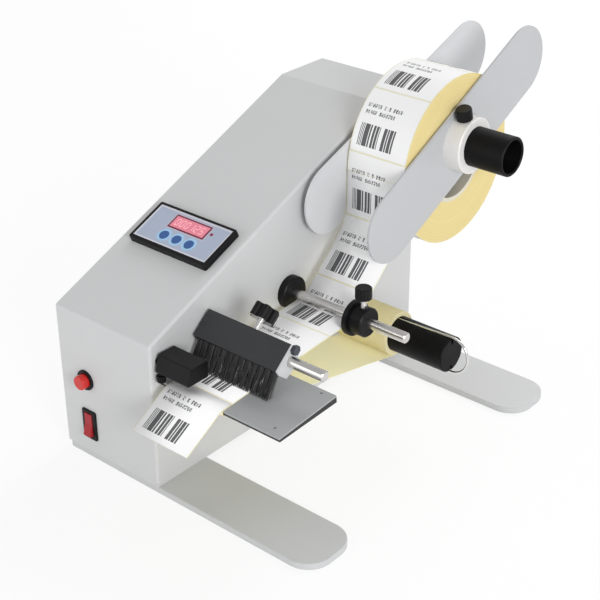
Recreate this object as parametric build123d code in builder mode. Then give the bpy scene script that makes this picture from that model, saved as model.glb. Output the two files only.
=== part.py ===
from build123d import *
import math
import os

os.makedirs("parts", exist_ok=True)

# Frame: the outer face of the right wall is at X zero with X to the right,
# Y goes back from the centre line of the front foot, and Z goes up from the floor.

# Housing
housing_width = 120.0
housing_depth = 375.0
front_height = 151.5
top_height = 282.0
slope_run = 310.0
sheet = 2.0
cover_sheet = 1.5
base_sheet = 3.0
lip_width = 12.0
fold_radius = 3.0
cover_screw_radius = 2.0
cover_screw_length = 9.0
cover_screw_inset = 32.0
pan_radius = 4.0
pan_height = 2.6
pan_round = 1.2
slot_width = 0.9
slot_depth = 1.3
base_screw_front = 60.0
base_screw_rear = 262.0
screw_gap = 0.1
part_gap = 0.3
run_gap = 0.05
slide_gap = 0.08

# Feet
foot_length = 300.0
foot_width = 62.0
foot_thickness = 6.0
foot_outer_corner = 24.0
foot_inner_corner = 6.0
foot_edge_round = 0.8
foot_setback = 6.0
foot_screw_radius = 2.5
foot_screw_sink = 0.3
foot_screw_pitch_x = 80.0
foot_screw_pitch_y = 40.0

# Counter in the slope
counter_width = 96.0
counter_height = 48.0
counter_rise = 7.0
bezel_corner = 2.0
bezel_round = 1.0
counter_distance = 115.0
counter_cut_width = 92.0
counter_cut_height = 45.0
counter_body_width = 91.0
counter_body_height = 44.0
counter_body_depth = 70.0
counter_wall = 2.0
cavity_width = 90.0
cavity_height = 42.0
cavity_depth = 3.6
face_width = 91.0
face_height = 42.0
face_shift = 0.5
face_thickness = 0.5
window_width = 41.0
window_height = 13.0
window_shift_x = 1.5
window_shift_y = 9.2
window_rim = 1.0
window_stand = 0.3
key_radius = 4.6
key_pitch = 15.6
key_shift_x = 0.2
key_shift_y = -8.7
key_flange = 1.0
key_top = 6.9
key_round = 0.4

# Push button and rocker switch in the front
button_x = -87.5
button_z = 84.5
button_bezel_radius = 10.0
button_bezel_rise = 2.0
button_bezel_round = 0.8
button_body_radius = 8.0
button_body_length = 22.0
button_bore_depth = 9.0
button_nut_radius = 11.0
button_nut_thickness = 3.0
cap_radius = 7.0
cap_stand = 9.0
cap_length = 15.5
cap_round = 1.2
rocker_x = -86.5
rocker_z = 37.0
rocker_frame_width = 17.5
rocker_frame_height = 31.0
rocker_frame_rise = 2.0
rocker_frame_corner = 1.5
rocker_frame_round = 0.8
rocker_body_width = 13.0
rocker_body_height = 27.5
rocker_body_depth = 18.0
rocker_width = 9.2
rocker_half = 11.6
rocker_end_gap = 1.1
rocker_reach = 6.0
rocker_root = 3.0
rocker_dip = 1.6
rocker_round = 0.5
rocker_pivot_depth = 1.5
rocker_pin_radius = 1.2
rocker_pin_reach = 5.4
rocker_tilt = 8.0

# Mains inlet in the back
inlet_x = -60.0
inlet_z = 45.0
inlet_flange_width = 31.5
inlet_flange_height = 24.5
inlet_flange_rise = 2.0
inlet_corner = 2.0
inlet_body_width = 27.0
inlet_body_height = 20.0
inlet_body_depth = 25.0
socket_width = 24.0
socket_height = 16.5
socket_depth = 16.0
socket_corner = 4.0
pin_width = 2.0
pin_height = 4.0
pin_length = 14.0
pin_pitch = 14.0
earth_pin_rise = 4.0
phase_pin_drop = 1.0

# Control board and transformer on the base
board_width = 90.0
board_depth = 70.0
board_thickness = 1.6
board_front = 20.0
board_right = -15.0
pillar_radius = 3.5
pillar_height = 10.0
pillar_inset = 6.0
relay_size = (28.0, 16.0, 16.0)
relay_shift = (-22.0, 14.0)
terminal_size = (60.0, 8.0, 10.0)
terminal_shift = (0.0, -27.0)
chip_size = (24.0, 10.0, 4.0)
chip_shift = (15.0, -9.0)
capacitor_shift = (22.0, 17.0)
capacitor_pitch = 18.0
capacitor_radius = 6.0
capacitor_height = 18.0
transformer_x = -70.0
transformer_y = 140.0
transformer_width = 60.0
transformer_depth = 50.0
transformer_height = 50.0
core_depth = 25.0
winding_width = 35.0
winding_gap = 8.0
winding_round = 4.0

# Gearmotor of the rewinder
motor_radius = 18.0
motor_length = 54.0
motor_round = 2.0
gearbox_radius = 18.5
gearbox_length = 24.0
gearbox_face = -34.0
output_boss_radius = 8.0
output_boss_length = 2.0
output_bore_depth = 10.0
bracket_sheet = 3.0
bracket_width = 50.0
bracket_height = 94.0
bracket_foot = 19.0

# Labels, web and liner
label_width = 65.0
label_inset = 11.0
web_thickness = 0.3
web_gap = 0.3
web_lift = 0.2
web_end = 8.0
slack_turn_share = 0.5324
slack_low_distance = 47.0
slack_low_share = 0.2769
rod_entry_distance = 15.7
rod_entry_height = 1.1
rod_exit_distance = 1.2
rod_exit_drop = 5.5
slack_turn_reach = 16.0
slack_bend_reach = 9.0
rod_entry_reach = 5.9
rod_wrap_reach = 1.1
table_entry_reach = 0.2
label_start = 11.0
label_overhang = 2.0
label_tongue = 48.5
label_droop = 30.0
label_bend_radius = 12.0
liner_fold_radius = 1.2

# Rods and nuts
arm_reach = 138.0
rod_radius = 5.0
thread_radius = 4.0
thread_length = 12.0
rod_chamfer = 0.8
wall_nut_flats = 13.0
wall_nut_thickness = 6.5

# Reel
reel_setback = 40.0
reel_drop = 28.0
tube_radius = 19.0
tube_wall = 3.0
axle_radius = 6.0
axle_length = 108.0
axle_thread_radius = 5.0
axle_thread_length = 14.0
axle_free_thread = 10.0
axle_flange_radius = 16.0
axle_flange_thickness = 2.5
axle_nut_flats = 17.0
axle_nut_thickness = 8.0
hub_radius = 27.0
inner_hub_thickness = 5.2
hub_neck_length = 22.0
bush_length = 11.5
outer_hub_length = 17.5
blade_length = 298.0
blade_width = 70.0
blade_thickness = 2.0
inner_blade_angle = 21.0
outer_blade_angle = 26.5
side_play = 1.5
hub_knob_angle = 105.0
core_bore_radius = 38.0
core_wall = 4.0
roll_radius = 82.5

# Clamp knobs
knob_radius = 7.8
knob_height = 11.0
knob_flutes = 14
flute_radius = 1.0
knob_stem_radius = 3.0
hub_knob_stand = 28.5
collar_knob_stand = 23.3
rim_chamfer = 1.0

# Web guide
guide_distance = 180.0
guide_drop = 19.5
inner_collar_radius = 16.0
inner_collar_length = 8.0
outer_collar_radius = 17.2
outer_collar_flange = 4.5
collar_hub_radius = 14.0
collar_hub_length = 14.5
collar_play = 1.0

# Peel table
table_distance = 9.0
table_drop = 36.5
table_length = 73.2
table_tilt = 4.3
table_front_thickness = 4.1
table_rear_thickness = 7.0
peel_thickness = 1.5
peel_edge_radius = 1.0
table_screw_radius = 2.0
table_screw_head = 3.6
table_screw_length = 4.0
table_screw_hex = 1.4
table_screw_hex_depth = 1.3
table_screw_end_inset = 12.5
table_screw_wall_inset = 5.5
table_screw_front = 9.0
table_screw_rear = 5.0
table_flange = 5.0
table_flange_drop = 23.0
table_flange_front = 7.0
table_flange_rear = 67.0
table_flange_top = 2.5
stud_front = 18.0
stud_rear = 50.0
stud_drop = 12.0

# Brush
brush_rod_distance = 67.5
brush_rod_rise = 26.3
brush_angle = 40.5
holder_start = 3.0
holder_width = 97.0
holder_front = 15.0
holder_rear = 11.9
holder_height = 9.3
holder_sheet = 2.0
cheek_sheet = 1.5
cheek_bulge = 1.0
cheek_bulge_drop = 5.0
cheek_front_corner = 1.5
cheek_front_toe = 10.0
cheek_rear_toe = 0.5
cheek_rear_corner = 1.0
cheek_rear_low = 2.0
clamp_start = 44.0
clamp_width = 15.0
clamp_rear = 6.5
clamp_low = 9.0
bar_width = 93.0
bar_depth = 7.5
bar_low = 0.5
tuft_count = 13
tuft_width = 5.4
tuft_root_high = 5.6
tuft_root_low = 0.6
tuft_tip_front = 31.0
tuft_tip_rear = 36.6
tie_bolt_radius = 2.0
tie_bolt_rear = 9.5
tie_bolt_rise = 5.0
tie_head_flats = 8.0
tie_head_thickness = 4.0
star_stem_radius = 2.5
star_stand = 22.5
star_height = 13.0
star_radius = 9.0
star_lobe_radius = 3.4
star_lobes = 6
star_round = 1.0

# Label sensor
sensor_rear = 27.0
sensor_start = 3.0
sensor_length = 39.0
sensor_depth = 20.0
sensor_rake = 4.5
sensor_height = 16.0
sensor_rise = 12.0
sensor_edge_round = 1.0
sensor_stud_radius = 3.0
sensor_stud_setback = 4.0
sensor_stud_length = 9.0
sensor_shoulder_radius = 6.0
sensor_travel = 14.0
sensor_knob_radius = 4.2
sensor_knob_height = 6.5
sensor_knob_depth = 4.0
sensor_knob_stand = 8.0
sensor_knob_setback = 20.0
sensor_knob_inset = 2.5
sensor_stem_radius = 1.8

# Rewinder
rewind_distance = 252.0
rewind_height = 82.0
roller_radius = 17.5
roller_start = 4.0
wound_thickness = 4.5
rewind_shaft_radius = 5.0
rewind_shaft_end = 125.0
bearing_radius = 11.0
bearing_length = 10.0
bearing_flange_radius = 15.0
bearing_flange_thickness = 2.5
groove_width = 3.2
groove_floor = 11.5
groove_start = 15.0
wire_radius = 1.25
clip_start = 20.0
clip_end = 137.0
clip_root_radius = 13.2
clip_mouth_radius = 18.3

# Places that follow from the sizes
front_y = -foot_width / 2
back_y = front_y + housing_depth
left_x = -housing_width
cover_x = left_x + cover_sheet
middle_x = left_x / 2
middle_y = front_y + housing_depth / 2
base_top = foot_thickness + base_sheet
slope_angle = math.degrees(math.atan2(top_height - front_height, slope_run))
rear_foot_y = back_y - foot_setback - foot_width / 2
label_end = label_inset + label_width
reel_y = back_y - reel_setback
reel_z = top_height - reel_drop
roll_z = reel_z - (core_bore_radius - tube_radius - part_gap)
guide_y = front_y + guide_distance
guide_z = front_height - guide_drop
table_y = front_y + table_distance
table_z = front_height - table_drop
rewind_y = front_y + rewind_distance
rewind_z = rewind_height
brush_y = front_y + brush_rod_distance
brush_z = table_z + (brush_y - table_y) * math.tan(math.radians(table_tilt)) + brush_rod_rise
sensor_y = front_y + sensor_rear
sensor_z = table_z + sensor_rise


# A point in the side view: a distance along the table from its front edge and a height above it
def on_table(along, above):
    lean = math.radians(table_tilt)
    y = table_y + along * math.cos(lean) - above * math.sin(lean)
    z = table_z + along * math.sin(lean) + above * math.cos(lean)
    return (y, z)


# A plane on an axis along X that looks out from it, at an angle measured from Y
def radial_plane(x, y, z, angle):
    outward = (0, math.cos(math.radians(angle)), math.sin(math.radians(angle)))
    return Plane(origin=(x, y, z), x_dir=(1, 0, 0), z_dir=outward)


# A plane across an axis along X, turned by an angle measured from Y
def cross_plane(y, z, x=0, angle=0):
    along = (0, math.cos(math.radians(angle)), math.sin(math.radians(angle)))
    return Plane(origin=(x, y, z), x_dir=along, z_dir=(1, 0, 0))


# The radius of a bend whose ends lie at a reach from its corner
def bend_radius(before, corner, after, reach):
    run_in = math.atan2(corner[1] - before[1], corner[0] - before[0])
    run_out = math.atan2(after[1] - corner[1], after[0] - corner[0])
    return reach / abs(math.tan((run_out - run_in) / 2))


# Side view of the housing above the base plate
profile = [
    (front_y, base_top),
    (front_y, front_height),
    (front_y + slope_run, top_height),
    (back_y, top_height),
    (back_y, base_top),
]

# Screws stand on the middle of the lips that the housing folds inward
lip_middle = (sheet + lip_width) / 2
slope_screw_drop = lip_middle / math.cos(math.radians(slope_angle))
cover_screw_places = [
    (front_y + lip_middle, base_top + cover_screw_inset),
    (front_y + lip_middle, front_height - cover_screw_inset),
    (front_y + slope_run / 2, (front_height + top_height) / 2 - slope_screw_drop),
    (back_y - cover_screw_inset, top_height - lip_middle),
    (back_y - lip_middle, (base_top + top_height) / 2),
    (back_y - lip_middle, base_top + cover_screw_inset),
]
base_screw_places = [
    (x, y)
    for x in (cover_x + lip_middle, -lip_middle)
    for y in (base_screw_front, base_screw_rear)
]

# Planes that carry the counter, the front controls, the inlet, the table and the brush
counter_plane = Plane(
    origin=(
        middle_x,
        front_y + counter_distance * math.cos(math.radians(slope_angle)),
        front_height + counter_distance * math.sin(math.radians(slope_angle)),
    ),
    x_dir=(1, 0, 0),
    z_dir=(0, -math.sin(math.radians(slope_angle)), math.cos(math.radians(slope_angle))),
)
counter_out = Axis(counter_plane.origin, counter_plane.z_dir)
front_plane = Plane(origin=(0, front_y, 0), x_dir=(1, 0, 0), z_dir=(0, -1, 0))
back_plane = Plane(origin=(inlet_x, back_y, inlet_z), x_dir=(-1, 0, 0), z_dir=(0, 1, 0))
table_plane = Plane(
    origin=(0, table_y, table_z),
    x_dir=(1, 0, 0),
    z_dir=(0, -math.sin(math.radians(table_tilt)), math.cos(math.radians(table_tilt))),
)
brush_plane = cross_plane(brush_y, brush_z, angle=brush_angle)
reel_plane = cross_plane(reel_y, reel_z)
roll_plane = cross_plane(reel_y, roll_z)
guide_plane = cross_plane(guide_y, guide_z)
rewind_plane = cross_plane(rewind_y, rewind_z)

# Places that more than one piece shares
table_stud_places = [on_table(stud_front, -stud_drop), on_table(stud_rear, -stud_drop)]
sensor_stud_y = sensor_y - sensor_stud_setback
sensor_stud_z = sensor_z + sensor_height / 2
key_names = ["key_left", "key_middle", "key_right"]
key_places = [(key_shift_x + step * key_pitch, key_shift_y) for step in (-1, 0, 1)]
table_screw_places = [
    (x, y)
    for x in (table_screw_wall_inset, arm_reach - table_screw_end_inset)
    for y in (table_screw_front, table_length - table_screw_rear)
]

# Housing shell: right wall, front, slope, top and back with lips on the left and below
with BuildPart() as housing_shell:
    with BuildSketch(Plane.YZ.offset(cover_x)):
        with BuildLine():
            Polyline(*profile, close=True)
        make_face()
    extrude(amount=-cover_x)
    folds = housing_shell.edges().filter_by(Axis.X).filter_by_position(Axis.Z, front_height, top_height)
    right_rim = housing_shell.faces().sort_by(Axis.X)[-1].edges().sort_by(Axis.Z)[1:]
    fillet(folds + right_rim, fold_radius)
    left_face = housing_shell.faces().sort_by(Axis.X)[0]
    bottom_face = housing_shell.faces().sort_by(Axis.Z)[0]
    offset(amount=-sheet, openings=[left_face, bottom_face])
    with BuildSketch(Plane.YZ.offset(cover_x)):
        with BuildLine():
            Polyline(*profile, close=True)
        make_face()
        offset(amount=-sheet / 2, kind=Kind.INTERSECTION)
        offset(amount=-lip_width, kind=Kind.INTERSECTION, mode=Mode.SUBTRACT)
    extrude(amount=cover_sheet)
    with BuildSketch(Plane.XY.offset(base_top)):
        with Locations((cover_x / 2, middle_y)):
            Rectangle(-cover_x - sheet, housing_depth - sheet)
            Rectangle(
                -cover_x - 2 * (sheet + lip_width),
                housing_depth - 2 * (sheet + lip_width),
                mode=Mode.SUBTRACT,
            )
    extrude(amount=sheet)
    with BuildSketch(Plane.YZ.offset(-2 * sheet)):
        with Locations((reel_y, reel_z)):
            Circle(axle_thread_radius + screw_gap)
        with Locations((guide_y, guide_z), (brush_y, brush_z), *table_stud_places):
            Circle(thread_radius + screw_gap)
        with Locations((rewind_y, rewind_z)):
            Circle(bearing_radius + screw_gap)
        with Locations((sensor_stud_y - sensor_travel / 2, sensor_stud_z)):
            SlotCenterToCenter(sensor_travel, 2 * (sensor_stud_radius + part_gap))
    extrude(amount=3 * sheet, mode=Mode.SUBTRACT)
    with BuildSketch(Plane.YZ.offset(cover_x)):
        with Locations(*cover_screw_places):
            Circle(cover_screw_radius + screw_gap)
    extrude(amount=cover_sheet, mode=Mode.SUBTRACT)
    with BuildSketch(Plane.XY.offset(base_top)):
        with Locations(*base_screw_places):
            Circle(cover_screw_radius + screw_gap)
    extrude(amount=sheet, mode=Mode.SUBTRACT)
    with BuildSketch(counter_plane.offset(-2 * sheet)):
        Rectangle(counter_cut_width, counter_cut_height)
    extrude(amount=3 * sheet, mode=Mode.SUBTRACT)
    with BuildSketch(front_plane.offset(-2 * sheet)):
        with Locations((button_x, button_z)):
            Circle(button_body_radius + screw_gap)
        with Locations((rocker_x, rocker_z)):
            Rectangle(rocker_body_width + 2 * screw_gap, rocker_body_height + 2 * screw_gap)
    extrude(amount=3 * sheet, mode=Mode.SUBTRACT)
    with BuildSketch(back_plane.offset(-2 * sheet)):
        Rectangle(inlet_body_width + 2 * screw_gap, inlet_body_height + 2 * screw_gap)
    extrude(amount=3 * sheet, mode=Mode.SUBTRACT)
housing_shell.part.label = "housing_shell"
export_step(housing_shell.part, "parts/housing_shell.step")

# Left cover: a flat sheet screwed to the lip
with BuildPart() as left_cover:
    with BuildSketch(Plane.YZ.offset(left_x)):
        with BuildLine():
            Polyline(*profile, close=True)
        make_face()
    extrude(amount=cover_sheet)
    corners = left_cover.edges().filter_by(Axis.X).filter_by_position(Axis.Z, front_height, top_height)
    fillet(corners, fold_radius)
    with BuildSketch(Plane.YZ.offset(left_x)):
        with Locations(*cover_screw_places):
            Circle(cover_screw_radius + screw_gap)
    extrude(amount=cover_sheet, mode=Mode.SUBTRACT)
left_cover.part.label = "left_cover"
export_step(left_cover.part, "parts/left_cover.step")

# Base plate between the housing and the feet
with BuildPart() as base_plate:
    with BuildSketch(Plane.XY.offset(foot_thickness)):
        with Locations((middle_x, middle_y)):
            Rectangle(housing_width, housing_depth)
        with Locations((middle_x, 0), (middle_x, rear_foot_y)):
            with GridLocations(foot_screw_pitch_x, foot_screw_pitch_y, 2, 2):
                Circle(foot_screw_radius + run_gap, mode=Mode.SUBTRACT)
        with Locations(*base_screw_places):
            Circle(cover_screw_radius + screw_gap, mode=Mode.SUBTRACT)
    extrude(amount=base_sheet)
base_plate.part.label = "base_plate"
export_step(base_plate.part, "parts/base_plate.step")

# Pan-head screws of the left cover and of the base, with crossed slots
left_heads = Plane.YZ.offset(left_x - pan_height)
base_heads = Plane.XY.offset(foot_thickness - pan_height)
with BuildPart() as cover_screws:
    for heads, places, outward in (
        (left_heads, cover_screw_places, Axis.X),
        (base_heads, base_screw_places, Axis.Z),
    ):
        with BuildSketch(heads):
            with Locations(*places):
                Circle(pan_radius)
        extrude(amount=pan_height)
        fillet(cover_screws.edges().group_by(outward)[0], pan_round)
        with BuildSketch(heads.offset(pan_height)):
            with Locations(*places):
                Circle(cover_screw_radius)
        extrude(amount=cover_screw_length)
        with BuildSketch(heads):
            with Locations(*places):
                Rectangle(pan_radius, slot_width)
                Rectangle(slot_width, pan_radius)
        extrude(amount=slot_depth, mode=Mode.SUBTRACT)
cover_screws.part.label = "cover_screws"
export_step(cover_screws.part, "parts/cover_screws.step")


# Foot: a flat bar with rounded outer corners, countersunk from below
def foot_bar(centre_y):
    with BuildPart() as bar:
        with BuildSketch():
            with Locations((left_x + foot_length / 2, centre_y)):
                Rectangle(foot_length, foot_width)
        extrude(amount=foot_thickness)
        upright = bar.edges().filter_by(Axis.Z).group_by(Axis.X)
        fillet(upright[-1], foot_outer_corner)
        fillet(bar.edges().filter_by(Axis.Z).group_by(Axis.X)[0], foot_inner_corner)
        fillet(bar.faces().sort_by(Axis.Z)[-1].edges(), foot_edge_round)
        with Locations(Plane(origin=(middle_x, centre_y, 0), x_dir=(1, 0, 0), z_dir=(0, 0, -1))):
            with GridLocations(foot_screw_pitch_x, foot_screw_pitch_y, 2, 2):
                CounterSinkHole(
                    foot_screw_radius + run_gap,
                    2 * foot_screw_radius + foot_screw_sink + run_gap,
                    counter_sink_angle=90,
                )
    return bar.part


front_foot = foot_bar(0)
front_foot.label = "front_foot"
export_step(front_foot, "parts/front_foot.step")

rear_foot = foot_bar(rear_foot_y)
rear_foot.label = "rear_foot"
export_step(rear_foot, "parts/rear_foot.step")

# Countersunk screws that hold the feet to the base plate
foot_screw_places = [
    (middle_x + side_x * foot_screw_pitch_x / 2, foot_y + side_y * foot_screw_pitch_y / 2)
    for foot_y in (0, rear_foot_y)
    for side_x in (-1, 1)
    for side_y in (-1, 1)
]
with BuildPart() as foot_screws:
    with BuildSketch(Plane.XY.offset(foot_screw_sink)):
        with Locations(*foot_screw_places):
            Circle(foot_screw_radius)
    extrude(amount=base_top - 2 * foot_screw_sink)
    with Locations(*[(x, y, foot_screw_sink) for x, y in foot_screw_places]):
        Cone(
            2 * foot_screw_radius,
            foot_screw_radius,
            foot_screw_radius,
            align=(Align.CENTER, Align.CENTER, Align.MIN),
        )
    with BuildSketch(Plane.XY.offset(foot_screw_sink)):
        with Locations(*foot_screw_places):
            RegularPolygon(foot_screw_radius, 6)
    extrude(amount=foot_screw_radius, mode=Mode.SUBTRACT)
foot_screws.part.label = "foot_screws"
export_step(foot_screws.part, "parts/foot_screws.step")

# Counter bezel: a frame on the slope with a plate that has openings for the window and the keys
plate_top = cavity_depth + counter_wall
key_hole_radius = key_radius + part_gap
with BuildPart() as counter_bezel:
    with BuildSketch(counter_plane):
        Rectangle(counter_width, counter_height)
    extrude(amount=counter_rise)
    fillet(counter_bezel.edges().filter_by(counter_out), bezel_corner)
    fillet(counter_bezel.faces().sort_by(counter_out)[-1].edges(), bezel_round)
    with BuildSketch(counter_plane):
        Rectangle(cavity_width, cavity_height)
    extrude(amount=cavity_depth, mode=Mode.SUBTRACT)
    with BuildSketch(counter_plane.offset(plate_top)):
        with Locations((0, face_shift)):
            Rectangle(face_width, face_height)
    extrude(amount=counter_rise, mode=Mode.SUBTRACT)
    with BuildSketch(counter_plane):
        with Locations((window_shift_x, window_shift_y)):
            Rectangle(window_width, window_height)
        with Locations(*key_places):
            Circle(key_hole_radius)
    extrude(amount=counter_rise, mode=Mode.SUBTRACT)
counter_bezel.part.label = "counter_bezel"
export_step(counter_bezel.part, "parts/counter_bezel.step")

# Counter body: the box behind the slope, open towards the bezel
with BuildPart() as counter_body:
    with BuildSketch(counter_plane):
        Rectangle(counter_body_width, counter_body_height)
    extrude(amount=-counter_body_depth)
    with BuildSketch(counter_plane):
        Rectangle(counter_body_width - 2 * counter_wall, counter_body_height - 2 * counter_wall)
    extrude(amount=counter_wall - counter_body_depth, mode=Mode.SUBTRACT)
counter_body.part.label = "counter_body"
export_step(counter_body.part, "parts/counter_body.step")

# Counter face: the thin printed sheet in the bezel
with BuildPart() as counter_face:
    with BuildSketch(counter_plane.offset(plate_top)):
        with Locations((0, face_shift)):
            Rectangle(face_width - 2 * run_gap, face_height - 2 * run_gap)
        with Locations((window_shift_x, window_shift_y)):
            Rectangle(window_width, window_height, mode=Mode.SUBTRACT)
        with Locations(*key_places):
            Circle(key_hole_radius, mode=Mode.SUBTRACT)
    extrude(amount=face_thickness)
counter_face.part.label = "counter_face"
export_step(counter_face.part, "parts/counter_face.step")

# Display window: a clear block with a rim behind the plate
with BuildPart() as display_window:
    with BuildSketch(counter_plane.offset(cavity_depth - window_rim)):
        with Locations((window_shift_x, window_shift_y)):
            Rectangle(window_width + 2 * window_rim, window_height + 2 * window_rim)
    extrude(amount=window_rim)
    with BuildSketch(counter_plane.offset(cavity_depth)):
        with Locations((window_shift_x, window_shift_y)):
            Rectangle(window_width - 2 * run_gap, window_height - 2 * run_gap)
    extrude(amount=counter_wall + face_thickness + window_stand)
display_window.part.label = "display_window"
export_step(display_window.part, "parts/display_window.step")


# Counter key: a round button with a flange that stays behind the plate
def counter_key(place):
    flange_top = cavity_depth - part_gap
    with BuildPart() as key:
        with BuildSketch(counter_plane.offset(flange_top - key_flange)):
            with Locations(place):
                Circle(key_radius + key_flange)
        extrude(amount=key_flange)
        with BuildSketch(counter_plane.offset(flange_top)):
            with Locations(place):
                Circle(key_radius)
        extrude(amount=key_top - flange_top)
        fillet(key.faces().sort_by(counter_out)[-1].edges(), key_round)
    return key.part


for key_name, key_place in zip(key_names, key_places):
    key_part = counter_key(key_place)
    key_part.label = key_name
    export_step(key_part, f"parts/{key_name}.step")

# Push button body: a bezel on the front and a threaded barrel with a bore for the cap
with BuildPart() as reset_body:
    with BuildSketch(front_plane):
        with Locations((button_x, button_z)):
            Circle(button_bezel_radius)
    extrude(amount=button_bezel_rise)
    fillet(reset_body.edges().group_by(Axis.Y)[0], button_bezel_round)
    with BuildSketch(front_plane):
        with Locations((button_x, button_z)):
            Circle(button_body_radius)
    extrude(amount=-button_body_length)
    with BuildSketch(front_plane.offset(button_bezel_rise)):
        with Locations((button_x, button_z)):
            Circle(cap_radius + slide_gap)
    extrude(amount=-button_bezel_rise - button_bore_depth, mode=Mode.SUBTRACT)
reset_body.part.label = "reset_body"
export_step(reset_body.part, "parts/reset_body.step")

# Nut that clamps the push button behind the front
with BuildPart() as reset_nut:
    with BuildSketch(front_plane.offset(-sheet)):
        with Locations((button_x, button_z)):
            RegularPolygon(button_nut_radius, 6)
            Circle(button_body_radius + run_gap, mode=Mode.SUBTRACT)
    extrude(amount=-button_nut_thickness)
reset_nut.part.label = "reset_nut"
export_step(reset_nut.part, "parts/reset_nut.step")

# Cap of the push button
with BuildPart() as reset_cap:
    with BuildSketch(front_plane.offset(cap_stand)):
        with Locations((button_x, button_z)):
            Circle(cap_radius)
    extrude(amount=-cap_length)
    fillet(reset_cap.edges().group_by(Axis.Y)[0], cap_round)
reset_cap.part.label = "reset_cap"
export_step(reset_cap.part, "parts/reset_cap.step")

# Rocker switch: a frame with a body behind the front and bearings for the rocker's pin
rocker_pivot_y = front_y + rocker_pivot_depth
with BuildPart() as rocker_frame:
    with BuildSketch(front_plane):
        with Locations((rocker_x, rocker_z)):
            Rectangle(rocker_frame_width, rocker_frame_height)
    extrude(amount=rocker_frame_rise)
    fillet(rocker_frame.edges().filter_by(Axis.Y), rocker_frame_corner)
    fillet(rocker_frame.faces().sort_by(Axis.Y)[0].edges(), rocker_frame_round)
    with BuildSketch(front_plane):
        with Locations((rocker_x, rocker_z)):
            Rectangle(rocker_body_width, rocker_body_height)
    extrude(amount=-rocker_body_depth)
    with BuildSketch(front_plane.offset(rocker_frame_rise)):
        with Locations((rocker_x, rocker_z)):
            Rectangle(rocker_width + 2 * part_gap, 2 * (rocker_half + rocker_end_gap))
    extrude(amount=-rocker_frame_rise - rocker_half, mode=Mode.SUBTRACT)
    with BuildSketch(cross_plane(rocker_pivot_y, rocker_z, rocker_x)):
        Circle(rocker_pin_radius + run_gap)
    extrude(amount=rocker_pin_reach + part_gap, both=True, mode=Mode.SUBTRACT)
rocker_frame.part.label = "rocker_frame"
export_step(rocker_frame.part, "parts/rocker_frame.step")

# Rocker on its pin, tilted with the lower end out
rocker_rest = cross_plane(rocker_pivot_y, rocker_z, rocker_x, -rocker_tilt)
with BuildPart() as power_rocker:
    with BuildSketch(rocker_rest) as rocker_side:
        with BuildLine():
            Polyline(
                (-rocker_reach, rocker_half),
                (rocker_dip - rocker_reach, 0),
                (-rocker_reach, -rocker_half),
                (rocker_root, -rocker_half),
                (rocker_root, rocker_half),
                close=True,
            )
        make_face()
        fillet(rocker_side.vertices(), rocker_round)
    extrude(amount=rocker_width / 2, both=True)
    with BuildSketch(rocker_rest):
        Circle(rocker_pin_radius)
    extrude(amount=rocker_pin_reach, both=True)
power_rocker.part.label = "power_rocker"
export_step(power_rocker.part, "parts/power_rocker.step")

# Mains inlet with a three-pin socket that faces back
with BuildPart() as power_inlet:
    with BuildSketch(back_plane):
        Rectangle(inlet_flange_width, inlet_flange_height)
    extrude(amount=inlet_flange_rise)
    fillet(power_inlet.edges().filter_by(Axis.Y), inlet_corner)
    with BuildSketch(back_plane):
        Rectangle(inlet_body_width, inlet_body_height)
    extrude(amount=-inlet_body_depth)
    with BuildSketch(back_plane.offset(inlet_flange_rise)) as socket:
        Rectangle(socket_width, socket_height)
        chamfer(socket.vertices().group_by(Axis.Y)[-1], socket_corner)
    extrude(amount=-inlet_flange_rise - socket_depth, mode=Mode.SUBTRACT)
    with BuildSketch(back_plane.offset(-socket_depth)):
        with Locations(
            (0, earth_pin_rise),
            (-pin_pitch / 2, -phase_pin_drop),
            (pin_pitch / 2, -phase_pin_drop),
        ):
            Rectangle(pin_width, pin_height)
    extrude(amount=pin_length)
power_inlet.part.label = "power_inlet"
export_step(power_inlet.part, "parts/power_inlet.step")

# Pillars that carry the control board
board_x = board_right - board_width / 2
board_y = board_front + board_depth / 2
with BuildPart() as board_pillars:
    with BuildSketch(Plane.XY.offset(base_top)):
        with Locations((board_x, board_y)):
            with GridLocations(board_width - 2 * pillar_inset, board_depth - 2 * pillar_inset, 2, 2):
                Circle(pillar_radius)
    extrude(amount=pillar_height)
board_pillars.part.label = "board_pillars"
export_step(board_pillars.part, "parts/board_pillars.step")

# Control board with a relay, a terminal strip, a chip and two capacitors
board_low = base_top + pillar_height
board_parts = [
    (relay_size, relay_shift),
    (terminal_size, terminal_shift),
    (chip_size, chip_shift),
]
with BuildPart() as control_board:
    with BuildSketch(Plane.XY.offset(board_low)):
        with Locations((board_x, board_y)):
            Rectangle(board_width, board_depth)
    extrude(amount=board_thickness)
    for size, shift in board_parts:
        with BuildSketch(Plane.XY.offset(board_low + board_thickness)):
            with Locations((board_x + shift[0], board_y + shift[1])):
                Rectangle(size[0], size[1])
        extrude(amount=size[2])
    with BuildSketch(Plane.XY.offset(board_low + board_thickness)):
        with Locations((board_x + capacitor_shift[0], board_y + capacitor_shift[1])):
            with GridLocations(capacitor_pitch, 0, 2, 1):
                Circle(capacitor_radius)
    extrude(amount=capacitor_height)
control_board.part.label = "control_board"
export_step(control_board.part, "parts/control_board.step")

# Transformer: an iron core with a winding through it
with BuildPart() as transformer:
    with BuildSketch(Plane.XY.offset(base_top + winding_gap)):
        with Locations((transformer_x, transformer_y)):
            Rectangle(winding_width, transformer_depth)
    extrude(amount=transformer_height - 2 * winding_gap)
    fillet(transformer.edges().filter_by(Axis.Z), winding_round)
    with BuildSketch(Plane.XY.offset(base_top)):
        with Locations((transformer_x, transformer_y)):
            Rectangle(transformer_width, core_depth)
    extrude(amount=transformer_height)
transformer.part.label = "transformer"
export_step(transformer.part, "parts/transformer.step")

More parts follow.
